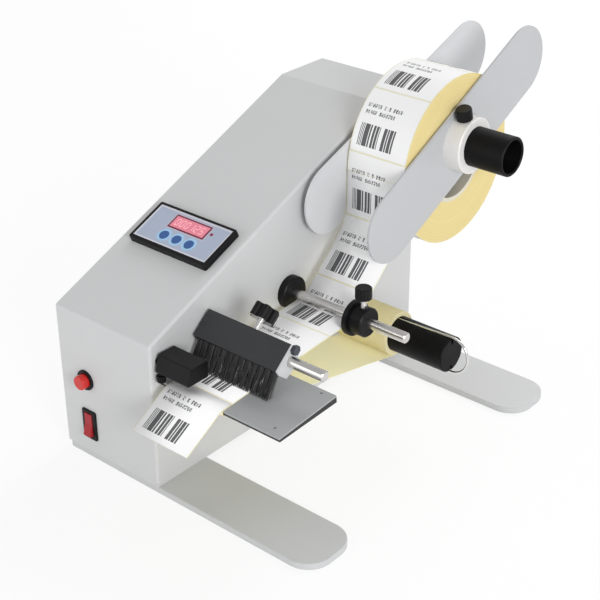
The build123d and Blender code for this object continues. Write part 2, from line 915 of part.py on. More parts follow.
# Gearmotor along X with a hollow output
with BuildPart() as gearmotor:
    with BuildSketch(rewind_plane.offset(gearbox_face)):
        Circle(gearbox_radius)
    extrude(amount=-gearbox_length)
    with BuildSketch(rewind_plane.offset(gearbox_face - gearbox_length)):
        Circle(motor_radius)
    extrude(amount=-motor_length)
    fillet(gearmotor.edges().group_by(Axis.X)[0], motor_round)
    with BuildSketch(rewind_plane.offset(gearbox_face)):
        Circle(output_boss_radius)
    extrude(amount=output_boss_length)
    with BuildSketch(rewind_plane.offset(gearbox_face + output_boss_length)):
        Circle(rewind_shaft_radius + run_gap)
    extrude(amount=-output_boss_length - output_bore_depth, mode=Mode.SUBTRACT)
gearmotor.part.label = "gearmotor"
export_step(gearmotor.part, "parts/gearmotor.step")

# Angle bracket that holds the gearmotor on the base plate
with BuildPart() as motor_bracket:
    with BuildSketch(Plane.YZ.offset(gearbox_face)):
        with Locations((rewind_y, base_top + bracket_height / 2)):
            Rectangle(bracket_width, bracket_height)
        with Locations((rewind_y, rewind_z)):
            Circle(output_boss_radius + screw_gap, mode=Mode.SUBTRACT)
    extrude(amount=bracket_sheet)
    with BuildSketch(Plane.XY.offset(base_top)):
        with Locations((gearbox_face + bracket_foot / 2, rewind_y)):
            Rectangle(bracket_foot, bracket_width)
    extrude(amount=bracket_sheet)
motor_bracket.part.label = "motor_bracket"
export_step(motor_bracket.part, "parts/motor_bracket.step")

# Flanged bearing of the rewinder in the right wall
with BuildPart() as rewind_bearing:
    with BuildSketch(rewind_plane.offset(-bearing_length)):
        Circle(bearing_radius)
    extrude(amount=bearing_length)
    with BuildSketch(rewind_plane):
        Circle(bearing_flange_radius)
    extrude(amount=bearing_flange_thickness)
    with BuildSketch(rewind_plane.offset(-bearing_length)):
        Circle(rewind_shaft_radius + run_gap)
    extrude(amount=bearing_length + bearing_flange_thickness, mode=Mode.SUBTRACT)
rewind_bearing.part.label = "rewind_bearing"
export_step(rewind_bearing.part, "parts/rewind_bearing.step")

# Shaft from the gearmotor through the bearing into the roller
shaft_start = gearbox_face - output_bore_depth + part_gap
with BuildPart() as rewind_shaft:
    with BuildSketch(rewind_plane.offset(shaft_start)):
        Circle(rewind_shaft_radius)
    extrude(amount=rewind_shaft_end - shaft_start)
rewind_shaft.part.label = "rewind_shaft"
export_step(rewind_shaft.part, "parts/rewind_shaft.step")

# Rewind roller with a groove on each side for the wire clip
groove_depth = roller_radius - groove_floor
with BuildPart() as rewind_roller:
    with BuildSketch(rewind_plane.offset(roller_start)):
        Circle(roller_radius)
    extrude(amount=arm_reach - roller_start)
    chamfer(rewind_roller.edges().group_by(Axis.X)[-1], rim_chamfer)
    with BuildSketch(rewind_plane.offset(roller_start)):
        Circle(rewind_shaft_radius + run_gap)
    extrude(amount=rewind_shaft_end - roller_start + part_gap, mode=Mode.SUBTRACT)
    with BuildSketch(rewind_plane.offset(groove_start)):
        with Locations((0, groove_floor + groove_depth), (0, -groove_floor - groove_depth)):
            Rectangle(groove_width, 2 * groove_depth)
    extrude(amount=arm_reach - groove_start, mode=Mode.SUBTRACT)
rewind_roller.part.label = "rewind_roller"
export_step(rewind_roller.part, "parts/rewind_roller.step")

# Liner wound on the roller
wound_radius = roller_radius + wound_thickness
with BuildPart() as wound_liner:
    with BuildSketch(rewind_plane.offset(label_inset)):
        Circle(wound_radius)
        Circle(roller_radius + run_gap, mode=Mode.SUBTRACT)
    extrude(amount=label_width)
wound_liner.part.label = "wound_liner"
export_step(wound_liner.part, "parts/wound_liner.step")

# Wire clip: two legs in the grooves, joined by a bow at the free end
clip_plane = Plane(origin=(0, rewind_y, rewind_z), x_dir=(1, 0, 0), z_dir=(0, -1, 0))
with BuildPart() as wire_clip:
    with BuildLine(clip_plane):
        upper_leg = Line((clip_start, clip_root_radius), (clip_end, clip_mouth_radius))
        TangentArc((clip_end, clip_mouth_radius), (clip_end, -clip_mouth_radius), tangent=upper_leg % 1)
        Line((clip_end, -clip_mouth_radius), (clip_start, -clip_root_radius))
    with BuildSketch(Plane(origin=upper_leg @ 0, z_dir=upper_leg % 0)):
        Circle(wire_radius)
    sweep()
wire_clip.part.label = "wire_clip"
export_step(wire_clip.part, "parts/wire_clip.step")

# Axle of the reel: a flange on the wall, a smooth stretch and a thread at each end
with BuildPart() as spindle_axle:
    with BuildSketch(reel_plane.offset(-axle_thread_length)):
        Circle(axle_thread_radius)
    extrude(amount=axle_thread_length + axle_length + axle_free_thread)
    chamfer(spindle_axle.edges().filter_by(GeomType.CIRCLE), rod_chamfer)
    with BuildSketch(reel_plane):
        Circle(axle_radius)
    extrude(amount=axle_length)
    with BuildSketch(reel_plane):
        Circle(axle_flange_radius)
    extrude(amount=axle_flange_thickness)
spindle_axle.part.label = "spindle_axle"
export_step(spindle_axle.part, "parts/spindle_axle.step")

# Nuts of the axle: one behind the wall, one at the free end
with BuildPart() as axle_nuts:
    for nut_start in (-sheet - axle_nut_thickness, axle_length):
        with BuildSketch(reel_plane.offset(nut_start)):
            RegularPolygon(axle_nut_flats / 2, 6, major_radius=False)
            Circle(axle_thread_radius + run_gap, mode=Mode.SUBTRACT)
        extrude(amount=axle_nut_thickness)
axle_nuts.part.label = "axle_nuts"
export_step(axle_nuts.part, "parts/axle_nuts.step")

# Inner hub: a disc behind the blade and a neck that carries the tube
hub_start = axle_flange_thickness + part_gap
inner_blade_x = hub_start + inner_hub_thickness
tube_x = inner_blade_x + blade_thickness
neck_radius = tube_radius - tube_wall - run_gap
with BuildPart() as inner_hub:
    with BuildSketch(reel_plane.offset(hub_start)):
        Circle(hub_radius)
    extrude(amount=inner_hub_thickness)
    with BuildSketch(reel_plane.offset(inner_blade_x)):
        Circle(neck_radius)
    extrude(amount=hub_neck_length)
    with BuildSketch(reel_plane.offset(hub_start)):
        Circle(axle_radius + run_gap)
    extrude(amount=inner_hub_thickness + hub_neck_length, mode=Mode.SUBTRACT)
inner_hub.part.label = "inner_hub"
export_step(inner_hub.part, "parts/inner_hub.step")

# Bush in the outer end of the tube
bush_start = axle_length - part_gap - bush_length
with BuildPart() as reel_bush:
    with BuildSketch(reel_plane.offset(bush_start)):
        Circle(neck_radius)
        Circle(axle_radius + run_gap, mode=Mode.SUBTRACT)
    extrude(amount=bush_length)
reel_bush.part.label = "reel_bush"
export_step(reel_bush.part, "parts/reel_bush.step")

# Reel tube with an open end
with BuildPart() as reel_tube:
    with BuildSketch(reel_plane.offset(tube_x)):
        Circle(tube_radius)
        Circle(tube_radius - tube_wall, mode=Mode.SUBTRACT)
    extrude(amount=arm_reach - tube_x)
    chamfer(reel_tube.edges().group_by(Axis.X)[-1], rod_chamfer)
reel_tube.part.label = "reel_tube"
export_step(reel_tube.part, "parts/reel_tube.step")


# Side blade: a long flat strip with round ends and a hole in the middle
def side_blade(start_x, angle, hole_radius):
    with BuildPart() as blade:
        with BuildSketch(reel_plane.offset(start_x)):
            SlotOverall(blade_length, blade_width, rotation=angle)
            Circle(hole_radius, mode=Mode.SUBTRACT)
        extrude(amount=blade_thickness)
    return blade.part


inner_blade = side_blade(inner_blade_x, inner_blade_angle, neck_radius + run_gap)
inner_blade.label = "inner_blade"
export_step(inner_blade, "parts/inner_blade.step")

outer_blade_x = label_end + side_play
tube_slide_radius = tube_radius + slide_gap
outer_blade = side_blade(outer_blade_x, outer_blade_angle, tube_slide_radius)
outer_blade.label = "outer_blade"
export_step(outer_blade, "parts/outer_blade.step")

# Outer hub with a radial hole for its clamp knob
outer_hub_x = outer_blade_x + blade_thickness
hub_knob_plane = radial_plane(outer_hub_x + outer_hub_length / 2, reel_y, reel_z, hub_knob_angle)
with BuildPart() as outer_hub:
    with BuildSketch(reel_plane.offset(outer_hub_x)):
        Circle(hub_radius)
    extrude(amount=outer_hub_length)
    chamfer(outer_hub.edges().group_by(Axis.X)[-1], rim_chamfer)
    with BuildSketch(reel_plane.offset(outer_hub_x)):
        Circle(tube_slide_radius)
    extrude(amount=outer_hub_length, mode=Mode.SUBTRACT)
    with BuildSketch(hub_knob_plane):
        Circle(knob_stem_radius + run_gap)
    extrude(amount=hub_radius + rim_chamfer, mode=Mode.SUBTRACT)
outer_hub.part.label = "outer_hub"
export_step(outer_hub.part, "parts/outer_hub.step")


# Clamp knob: a fluted head on a stem
def fluted_knob(plane, stem_radius, stem_start, head_start, head_radius, head_height):
    with BuildPart() as knob:
        with BuildSketch(plane.offset(stem_start)):
            Circle(stem_radius)
        extrude(amount=head_start - stem_start)
        with BuildSketch(plane.offset(head_start)):
            Circle(head_radius)
        extrude(amount=head_height)
        outward = Axis(plane.origin, plane.z_dir)
        chamfer(knob.faces().sort_by(outward)[-1].edges(), rim_chamfer)
        with BuildSketch(plane.offset(head_start)):
            with PolarLocations(head_radius + flute_radius / 2, knob_flutes):
                Circle(flute_radius)
        extrude(amount=head_height, mode=Mode.SUBTRACT)
    return knob.part


hub_knob = fluted_knob(
    hub_knob_plane,
    knob_stem_radius,
    tube_slide_radius + part_gap,
    hub_knob_stand,
    knob_radius,
    knob_height,
)
hub_knob.label = "hub_knob"
export_step(hub_knob, "parts/hub_knob.step")

# Cardboard core and the roll of labels, which hang on the tube
core_radius = core_bore_radius + core_wall
with BuildPart() as label_core:
    with BuildSketch(roll_plane.offset(label_inset)):
        Circle(core_radius)
        Circle(core_bore_radius, mode=Mode.SUBTRACT)
    extrude(amount=label_width)
label_core.part.label = "label_core"
export_step(label_core.part, "parts/label_core.step")

with BuildPart() as label_roll:
    with BuildSketch(roll_plane.offset(label_inset)):
        Circle(roll_radius)
        Circle(core_radius + run_gap, mode=Mode.SUBTRACT)
    extrude(amount=label_width)
label_roll.part.label = "label_roll"
export_step(label_roll.part, "parts/label_roll.step")

# Web of labels: down from the roll, under the guide rod and over the table
web_front = reel_y - roll_radius - web_gap - web_thickness / 2
web_level = web_lift + web_thickness / 2
web_drop = roll_z - guide_z
web_points = [
    (web_front, roll_z),
    (web_front, guide_z + slack_turn_share * web_drop),
    (guide_y + slack_low_distance, guide_z + slack_low_share * web_drop),
    (guide_y + rod_entry_distance, guide_z + rod_entry_height),
    (guide_y + rod_exit_distance, guide_z - rod_exit_drop),
    on_table(table_length, web_level),
    on_table(web_end, web_level),
]
web_reaches = [
    slack_turn_reach,
    slack_bend_reach,
    rod_entry_reach,
    rod_wrap_reach,
    table_entry_reach,
]
web_radii = [
    bend_radius(web_points[corner], web_points[corner + 1], web_points[corner + 2], reach)
    for corner, reach in enumerate(web_reaches)
]
with BuildPart() as label_web:
    with BuildSketch(Plane.YZ.offset(label_inset)):
        with BuildLine():
            FilletPolyline(*web_points, radius=web_radii)
        trace(line_width=web_thickness)
    extrude(amount=label_width)
label_web.part.label = "label_web"
export_step(label_web.part, "parts/label_web.step")

# Label that has come off at the peel edge and points down
label_level = web_lift + web_thickness + run_gap + web_thickness / 2
bend_y, bend_z = on_table(-label_overhang, label_level)
tip_y = bend_y - label_tongue * math.cos(math.radians(label_droop))
tip_z = bend_z - label_tongue * math.sin(math.radians(label_droop))
with BuildPart() as dispensed_label:
    with BuildSketch(Plane.YZ.offset(label_inset)):
        with BuildLine():
            FilletPolyline(
                on_table(label_start, label_level),
                (bend_y, bend_z),
                (tip_y, tip_z),
                radius=label_bend_radius,
            )
        trace(line_width=web_thickness)
    extrude(amount=label_width)
dispensed_label.part.label = "dispensed_label"
export_step(dispensed_label.part, "parts/dispensed_label.step")

# Bare liner: over the peel edge and back below the table to the underside of the wound liner
fold_top = on_table(-2 * web_gap, web_level)
fold_low = on_table(-2 * web_gap, -table_front_thickness - 2 * web_gap)
tangent_radius = wound_radius + web_gap + web_thickness / 2
run_y = rewind_y - fold_low[0]
run_z = rewind_z - fold_low[1]
run_direct = math.hypot(run_y, run_z)
liner_angle = math.atan2(run_z, run_y) - math.asin(tangent_radius / run_direct)
liner_run = math.sqrt(run_direct**2 - tangent_radius**2)
liner_end = (
    fold_low[0] + liner_run * math.cos(liner_angle),
    fold_low[1] + liner_run * math.sin(liner_angle),
)
with BuildPart() as liner_web:
    with BuildSketch(Plane.YZ.offset(label_inset)):
        with BuildLine():
            FilletPolyline(
                on_table(web_end, web_level),
                fold_top,
                fold_low,
                liner_end,
                radius=liner_fold_radius,
            )
        trace(line_width=web_thickness)
    extrude(amount=label_width)
liner_web.part.label = "liner_web"
export_step(liner_web.part, "parts/liner_web.step")


# Rod that stands out from the right wall and is threaded behind it
def wall_rod(y, z):
    with BuildPart() as rod:
        with BuildSketch(cross_plane(y, z)):
            Circle(rod_radius)
        extrude(amount=arm_reach)
        chamfer(rod.edges().group_by(Axis.X)[-1], rod_chamfer)
        with BuildSketch(cross_plane(y, z)):
            Circle(thread_radius)
        extrude(amount=-thread_length)
        chamfer(rod.edges().group_by(Axis.X)[0], rod_chamfer)
    return rod.part


guide_rod = wall_rod(guide_y, guide_z)
guide_rod.label = "guide_rod"
export_step(guide_rod, "parts/guide_rod.step")

brush_rod = wall_rod(brush_y, brush_z)
brush_rod.label = "brush_rod"
export_step(brush_rod, "parts/brush_rod.step")

# Nuts behind the wall on the rods and on the studs of the table
wall_nut_places = [(guide_y, guide_z), (brush_y, brush_z), *table_stud_places]
with BuildPart() as wall_nuts:
    with BuildSketch(Plane.YZ.offset(-sheet)):
        with Locations(*wall_nut_places):
            RegularPolygon(wall_nut_flats / 2, 6, major_radius=False)
            Circle(thread_radius + run_gap, mode=Mode.SUBTRACT)
    extrude(amount=-wall_nut_thickness)
wall_nuts.part.label = "wall_nuts"
export_step(wall_nuts.part, "parts/wall_nuts.step")

# Fixed collar of the web guide beside the wall
with BuildPart() as inner_collar:
    with BuildSketch(guide_plane):
        Circle(inner_collar_radius)
    extrude(amount=inner_collar_length)
    chamfer(inner_collar.edges().group_by(Axis.X)[-1], rim_chamfer)
    with BuildSketch(guide_plane):
        Circle(rod_radius + run_gap)
    extrude(amount=inner_collar_length, mode=Mode.SUBTRACT)
inner_collar.part.label = "inner_collar"
export_step(inner_collar.part, "parts/inner_collar.step")

# Sliding collar of the web guide with a radial hole for its clamp knob
outer_collar_x = label_end + collar_play
collar_hub_x = outer_collar_x + outer_collar_flange
collar_knob_plane = radial_plane(collar_hub_x + collar_hub_length / 2, guide_y, guide_z, 90)
with BuildPart() as outer_collar:
    with BuildSketch(guide_plane.offset(outer_collar_x)):
        Circle(outer_collar_radius)
    extrude(amount=outer_collar_flange)
    with BuildSketch(guide_plane.offset(collar_hub_x)):
        Circle(collar_hub_radius)
    extrude(amount=collar_hub_length)
    chamfer(outer_collar.edges().group_by(Axis.X)[-1], rim_chamfer)
    with BuildSketch(guide_plane.offset(outer_collar_x)):
        Circle(rod_radius + slide_gap)
    extrude(amount=outer_collar_flange + collar_hub_length, mode=Mode.SUBTRACT)
    with BuildSketch(collar_knob_plane):
        Circle(knob_stem_radius + run_gap)
    extrude(amount=outer_collar_radius, mode=Mode.SUBTRACT)
outer_collar.part.label = "outer_collar"
export_step(outer_collar.part, "parts/outer_collar.step")

rod_stem_start = rod_radius + slide_gap + part_gap
collar_knob = fluted_knob(
    collar_knob_plane,
    knob_stem_radius,
    rod_stem_start,
    collar_knob_stand,
    knob_radius,
    knob_height,
)
collar_knob.label = "collar_knob"
export_step(collar_knob, "parts/collar_knob.step")

# Table base: a wedge under the peel plate, with a flange and two studs on the wall
with BuildPart() as table_base:
    with BuildSketch(Plane.YZ):
        with BuildLine():
            Polyline(
                on_table(0, -peel_thickness),
                on_table(table_length, -peel_thickness),
                on_table(table_length, -table_rear_thickness),
                on_table(0, -table_front_thickness),
                close=True,
            )
        make_face()
    extrude(amount=arm_reach)
    fillet(table_base.edges().filter_by(Axis.X).sort_by(Axis.Z)[0], peel_edge_radius)
    with BuildSketch(Plane.YZ):
        with BuildLine():
            Polyline(
                on_table(table_flange_front, -table_flange_top),
                on_table(table_flange_rear, -table_flange_top),
                on_table(table_flange_rear, -table_flange_drop),
                on_table(table_flange_front, -table_flange_drop),
                close=True,
            )
        make_face()
    extrude(amount=table_flange)
    with BuildSketch(Plane.YZ):
        with Locations(*table_stud_places):
            Circle(thread_radius)
    extrude(amount=-thread_length)
    with BuildSketch(table_plane.offset(-peel_thickness)):
        with Locations(*table_screw_places):
            Circle(table_screw_radius + screw_gap)
    extrude(amount=-table_rear_thickness, mode=Mode.SUBTRACT)
table_base.part.label = "table_base"
export_step(table_base.part, "parts/table_base.step")

# Peel plate on the wedge, with a rounded front edge that the liner folds over
with BuildPart() as peel_plate:
    with BuildSketch(table_plane):
        with Locations((arm_reach / 2, table_length / 2)):
            Rectangle(arm_reach, table_length)
    extrude(amount=-peel_thickness)
    fillet(peel_plate.edges().filter_by(Axis.X).sort_by(Axis.Y)[0], peel_edge_radius)
    with Locations(table_plane):
        with Locations(*[(x, y, 0) for x, y in table_screw_places]):
            CounterSinkHole(
                table_screw_radius + run_gap,
                table_screw_head + run_gap,
                counter_sink_angle=90,
            )
peel_plate.part.label = "peel_plate"
export_step(peel_plate.part, "parts/peel_plate.step")

# Countersunk screws of the table
table_head_depth = table_screw_head - table_screw_radius
with BuildPart() as table_screws:
    with BuildSketch(table_plane):
        with Locations(*table_screw_places):
            Circle(table_screw_radius)
    extrude(amount=-table_screw_length)
    with Locations(table_plane.offset(-table_head_depth)):
        with Locations(*[(x, y, 0) for x, y in table_screw_places]):
            Cone(
                table_screw_radius,
                table_screw_head,
                table_head_depth,
                align=(Align.CENTER, Align.CENTER, Align.MIN),
            )
    with BuildSketch(table_plane):
        with Locations(*table_screw_places):
            RegularPolygon(table_screw_hex, 6)
    extrude(amount=-table_screw_hex_depth, mode=Mode.SUBTRACT)
table_screws.part.label = "table_screws"
export_step(table_screws.part, "parts/table_screws.step")

# Brush holder: a top plate with two cheeks on the rod and a clamp block in the middle
holder_end = holder_start + holder_width
inner_face = holder_height - holder_sheet
clamp_front = holder_front - bar_depth
brush_knob_plane = radial_plane(clamp_start + clamp_width / 2, brush_y, brush_z, brush_angle)
with BuildPart() as brush_holder:
    with BuildSketch(brush_plane.offset(holder_start)):
        with Locations(((holder_rear - holder_front) / 2, holder_height - holder_sheet / 2)):
            Rectangle(holder_front + holder_rear, holder_sheet)
    extrude(amount=holder_width)
    for cheek_x in (holder_start, holder_end - cheek_sheet):
        with BuildSketch(brush_plane.offset(cheek_x)):
            with BuildLine():
                Polyline(
                    (-holder_front, holder_height),
                    (-holder_front - cheek_bulge, holder_height - cheek_bulge_drop),
                    (-holder_front + cheek_front_corner, -clamp_low + cheek_front_corner),
                    (-holder_front + cheek_front_toe, -clamp_low),
                    (clamp_rear - cheek_rear_toe, -clamp_low + cheek_rear_corner),
                    (holder_rear, -cheek_rear_low),
                    (holder_rear, holder_height),
                    close=True,
                )
            make_face()
        extrude(amount=cheek_sheet)
    with BuildSketch(brush_plane.offset(clamp_start)):
        with Locations(((clamp_rear - clamp_front) / 2, (inner_face - clamp_low) / 2)):
            Rectangle(clamp_rear + clamp_front, inner_face + clamp_low)
    extrude(amount=clamp_width)
    with BuildSketch(brush_plane.offset(holder_start)):
        Circle(rod_radius + run_gap)
        with Locations((tie_bolt_rear, tie_bolt_rise)):
            Circle(tie_bolt_radius + run_gap)
    extrude(amount=holder_width, mode=Mode.SUBTRACT)
    with BuildSketch(brush_knob_plane):
        Circle(star_stem_radius + run_gap)
    extrude(amount=holder_rear, mode=Mode.SUBTRACT)
brush_holder.part.label = "brush_holder"
export_step(brush_holder.part, "parts/brush_holder.step")

# Brush back: the bar that holds the tufts, in front of the clamp block
bar_start = holder_start + (holder_width - bar_width) / 2
with BuildPart() as brush_back:
    with BuildSketch(brush_plane.offset(bar_start)):
        with Locations((bar_depth / 2 - holder_front, (inner_face - bar_low) / 2)):
            Rectangle(bar_depth, inner_face + bar_low)
    extrude(amount=bar_width)
brush_back.part.label = "brush_back"
export_step(brush_back.part, "parts/brush_back.step")

# Bristles: a row of tufts that reach down to just above the web
tip_level = web_lift + web_thickness + web_gap
tuft_pitch = bar_width / tuft_count
root_high = brush_plane.from_local_coords(Vector(-holder_front, tuft_root_high))
root_low = brush_plane.from_local_coords(Vector(-holder_front, tuft_root_low))
first_tuft = bar_start + (tuft_pitch - tuft_width) / 2
with BuildPart() as bristles:
    for tuft in range(tuft_count):
        with BuildSketch(Plane.YZ.offset(first_tuft + tuft * tuft_pitch)):
            with BuildLine():
                Polyline(
                    (root_high.Y, root_high.Z),
                    on_table(tuft_tip_front, tip_level),
                    on_table(tuft_tip_rear, tip_level),
                    (root_low.Y, root_low.Z),
                    close=True,
                )
            make_face()
        extrude(amount=tuft_width)
bristles.part.label = "bristles"
export_step(bristles.part, "parts/bristles.step")

# Bolt that ties the cheeks, with a hexagon head outside the right cheek
with BuildPart() as brush_tie_bolt:
    with BuildSketch(brush_plane.offset(holder_start)):
        with Locations((tie_bolt_rear, tie_bolt_rise)):
            Circle(tie_bolt_radius)
    extrude(amount=holder_width)
    with BuildSketch(brush_plane.offset(holder_end)):
        with Locations((tie_bolt_rear, tie_bolt_rise)):
            RegularPolygon(tie_head_flats / 2, 6, major_radius=False)
    extrude(amount=tie_head_thickness)
brush_tie_bolt.part.label = "brush_tie_bolt"
export_step(brush_tie_bolt.part, "parts/brush_tie_bolt.step")

# Star knob that clamps the brush on its rod
with BuildPart() as brush_knob:
    with BuildSketch(brush_knob_plane.offset(rod_stem_start)):
        Circle(star_stem_radius)
    extrude(amount=star_stand - rod_stem_start)
    with BuildSketch(brush_knob_plane.offset(star_stand)):
        Circle(star_radius)
        with PolarLocations(star_radius, star_lobes):
            Circle(star_lobe_radius)
    extrude(amount=star_height)
    star_top = brush_knob.faces().sort_by(Axis(brush_knob_plane.origin, brush_knob_plane.z_dir))[-1]
    fillet(star_top.edges(), star_round)
brush_knob.part.label = "brush_knob"
export_step(brush_knob.part, "parts/brush_knob.step")

# Sensor block with a slanted front and a stud that slides in the wall
stud_plane = cross_plane(sensor_stud_y, sensor_stud_z)
sensor_front = sensor_y - sensor_depth
sensor_knob_x = sensor_start + sensor_knob_inset
sensor_knob_y = sensor_y - sensor_knob_setback
with BuildPart() as sensor_block:
    with BuildSketch(Plane.YZ.offset(sensor_start)):
        with BuildLine():
            Polyline(
                (sensor_y, sensor_z),
                (sensor_y, sensor_z + sensor_height),
                (sensor_front, sensor_z + sensor_height),
                (sensor_front - sensor_rake, sensor_z),
                close=True,
            )
        make_face()
    extrude(amount=sensor_length)
    fillet(sensor_block.edges().filter_by(Axis.X), sensor_edge_round)
    with BuildSketch(stud_plane.offset(part_gap)):
        Circle(sensor_shoulder_radius)
    extrude(amount=sensor_start - part_gap)
    with BuildSketch(stud_plane.offset(part_gap)):
        Circle(sensor_stud_radius)
    extrude(amount=-part_gap - sensor_stud_length)
    with BuildSketch(stud_plane.offset(-sheet - part_gap)):
        Circle(sensor_shoulder_radius)
    extrude(amount=-sheet)
    with BuildSketch(Plane.XY.offset(sensor_z)):
        with Locations((sensor_knob_x, sensor_knob_y)):
            Circle(sensor_stem_radius + run_gap)
    extrude(amount=sensor_knob_depth + part_gap, mode=Mode.SUBTRACT)
sensor_block.part.label = "sensor_block"
export_step(sensor_block.part, "parts/sensor_block.step")

# Thumb screw under the sensor, beside the wall
sensor_knob_plane = Plane(
    origin=(sensor_knob_x, sensor_knob_y, sensor_z + sensor_knob_depth),
    x_dir=(1, 0, 0),
    z_dir=(0, 0, -1),
)
sensor_knob = fluted_knob(
    sensor_knob_plane,
    sensor_stem_radius,
    0,
    sensor_knob_stand,
    sensor_knob_radius,
    sensor_knob_height,
)
sensor_knob.label = "sensor_knob"
export_step(sensor_knob, "parts/sensor_knob.step")
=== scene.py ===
import math
import random
import bmesh
import bpy
from mathutils import Matrix, Vector


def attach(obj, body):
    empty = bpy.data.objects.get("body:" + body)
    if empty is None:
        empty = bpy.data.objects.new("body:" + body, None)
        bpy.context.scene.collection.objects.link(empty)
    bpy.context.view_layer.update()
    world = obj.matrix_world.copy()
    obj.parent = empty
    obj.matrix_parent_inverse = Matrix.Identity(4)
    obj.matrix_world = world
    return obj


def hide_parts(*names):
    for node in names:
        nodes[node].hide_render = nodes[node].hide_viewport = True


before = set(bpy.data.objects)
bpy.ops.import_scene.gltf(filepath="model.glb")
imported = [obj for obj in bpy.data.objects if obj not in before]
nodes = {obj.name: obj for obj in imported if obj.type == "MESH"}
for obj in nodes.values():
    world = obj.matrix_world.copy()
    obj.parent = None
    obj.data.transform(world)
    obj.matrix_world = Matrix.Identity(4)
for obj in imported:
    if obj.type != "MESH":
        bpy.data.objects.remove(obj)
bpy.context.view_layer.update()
mm = 0.001
print("frame loaded,", len(nodes), "nodes")


# shader maths: a socket that Python's operators work on
class Signal:
    def __init__(self, finish, socket):
        self.finish = finish
        self.socket = socket

    def maths(self, operation, first, second=0.0):
        return self.finish.node("ShaderNodeMath", {"operation": operation}, {0: first, 1: second})

    def __add__(self, other):
        return self.maths("ADD", self, other)

    __radd__ = __add__

    def __sub__(self, other):
        return self.maths("SUBTRACT", self, other)

    def __rsub__(self, other):
        return self.maths("SUBTRACT", other, self)

    def __mul__(self, other):
        return self.maths("MULTIPLY", self, other)

    __rmul__ = __mul__

    def __truediv__(self, other):
        return self.maths("DIVIDE", self, other)

    def __floordiv__(self, other):
        return self.maths("FLOOR", self / other)

    def __mod__(self, other):
        return self.maths("FLOORED_MODULO", self, other)

    def __gt__(self, other):
        return self.maths("GREATER_THAN", self, other)

    def __lt__(self, other):
        return self.maths("LESS_THAN", self, other)

    def __abs__(self):
        return self.maths("ABSOLUTE", self)

    def power(self, other):
        return self.maths("POWER", self, other)

    def between(self, low, high):
        return (self > low) * (self < high)


# one material with its shader and the method that adds any node
class Finish:
    def __init__(self, name, **constants):
        self.material = bpy.data.materials.new(name)
        self.material.use_nodes = True
        self.tree = self.material.node_tree
        self.shader = self.tree.nodes["Principled BSDF"]
        for socket, value in constants.items():
            self.set(socket.replace("_", " "), value)
        metres = self.node("ShaderNodeTexCoord", out="Object")
        scaling = {0: metres, "Scale": 1 / mm}
        self.place = self.node("ShaderNodeVectorMath", {"operation": "SCALE"}, scaling)
        self.x, self.y, self.z = self.split(self.place)

    def node(self, kind, settings=None, values=None, out=0):
        made = self.tree.nodes.new(kind)
        for key, value in (settings or {}).items():
            if key == "stops":
                ramp = made.color_ramp
                while len(ramp.elements) < len(value):
                    ramp.elements.new(0.5)
                for element, (position, colour) in zip(ramp.elements, value):
                    element.position = position
                    element.color = (*colour, 1)
            else:
                setattr(made, key, value)
        for key, value in (values or {}).items():
            self.feed(made.inputs[key], value)
        return Signal(self, made.outputs[out])

    def feed(self, socket, value):
        if isinstance(value, Signal):
            self.tree.links.new(value.socket, socket)
        elif hasattr(value, "__len__") and len(value) == 3 and socket.type == "RGBA":
            socket.default_value = (*value, 1)
        else:
            socket.default_value = value

    def set(self, socket, value):
        self.feed(self.shader.inputs[socket], value)

    def split(self, vector):
        return [self.node("ShaderNodeSeparateXYZ", {}, {0: vector}, out=axis) for axis in range(3)]

    def join(self, x, y, z=0.0):
        return self.node("ShaderNodeCombineXYZ", {}, {0: x, 1: y, 2: z})

    def mix(self, share, first, second):
        return self.node("ShaderNodeMix", {"data_type": "RGBA"}, {0: share, 6: first, 7: second}, out=2)

    # soft random values from 0 to 1 with spots of about this size in mm
    def clouds(self, size, detail=2.0, stretch=(1, 1, 1)):
        scales = [part / size for part in stretch]
        spots = self.node("ShaderNodeMapping", {}, {"Vector": self.place, "Scale": scales})
        return self.node("ShaderNodeTexNoise", {}, {"Vector": spots, "Scale": 1.0, "Detail": detail})

    # one random value from 0 to 1 for each whole number
    def dice(self, number, second=0.0):
        pair = self.join(number, second)
        return self.node("ShaderNodeTexWhiteNoise", {"noise_dimensions": "2D"}, {"Vector": pair})

    # smooth step from 0 at the first value to 1 at the second
    def slope(self, value, low, high):
        return self.node(
            "ShaderNodeMapRange",
            {"interpolation_type": "SMOOTHSTEP"},
            {"Value": value, "From Min": low, "From Max": high},
        )

    # height is from 0 to 1, depth in mm
    def relief(self, height, depth):
        bump = self.node("ShaderNodeBump", {}, {"Height": height, "Distance": depth * mm, "Strength": 1.0})
        self.set("Normal", bump)

    def radius(self, centre):
        side = self.y - centre[0]
        rise = self.z - centre[1]
        return (side * side + rise * rise).power(0.5)


# finishes of painted, moulded and turned pieces
def painted(name, colour, roughness=0.42, grain=0.012):
    finish = Finish(name, Specular_IOR_Level=0.5)
    wide = finish.clouds(70, 3)
    peel = finish.clouds(1.1, 2)
    dust = finish.clouds(9, 4)
    shade = wide * 0.05 + dust * 0.03
    finish.set("Base Color", finish.mix(shade, colour, [part * 0.55 for part in colour]))
    finish.set("Roughness", roughness - 0.06 + dust * 0.10 + peel * 0.04)
    finish.relief(peel * 0.8 + finish.clouds(0.35, 1) * 0.2, grain)
    return finish


def moulded(name, colour, roughness=0.45, grain=0.02, shine=0.5):
    finish = Finish(name, Specular_IOR_Level=shine)
    fine = finish.clouds(0.45, 2)
    wide = finish.clouds(14, 3)
    finish.set("Base Color", finish.mix(wide * 0.5, colour, [part * 0.7 for part in colour]))
    finish.set("Roughness", roughness - 0.08 + wide * 0.12 + fine * 0.04)
    finish.relief(fine, grain)
    return finish


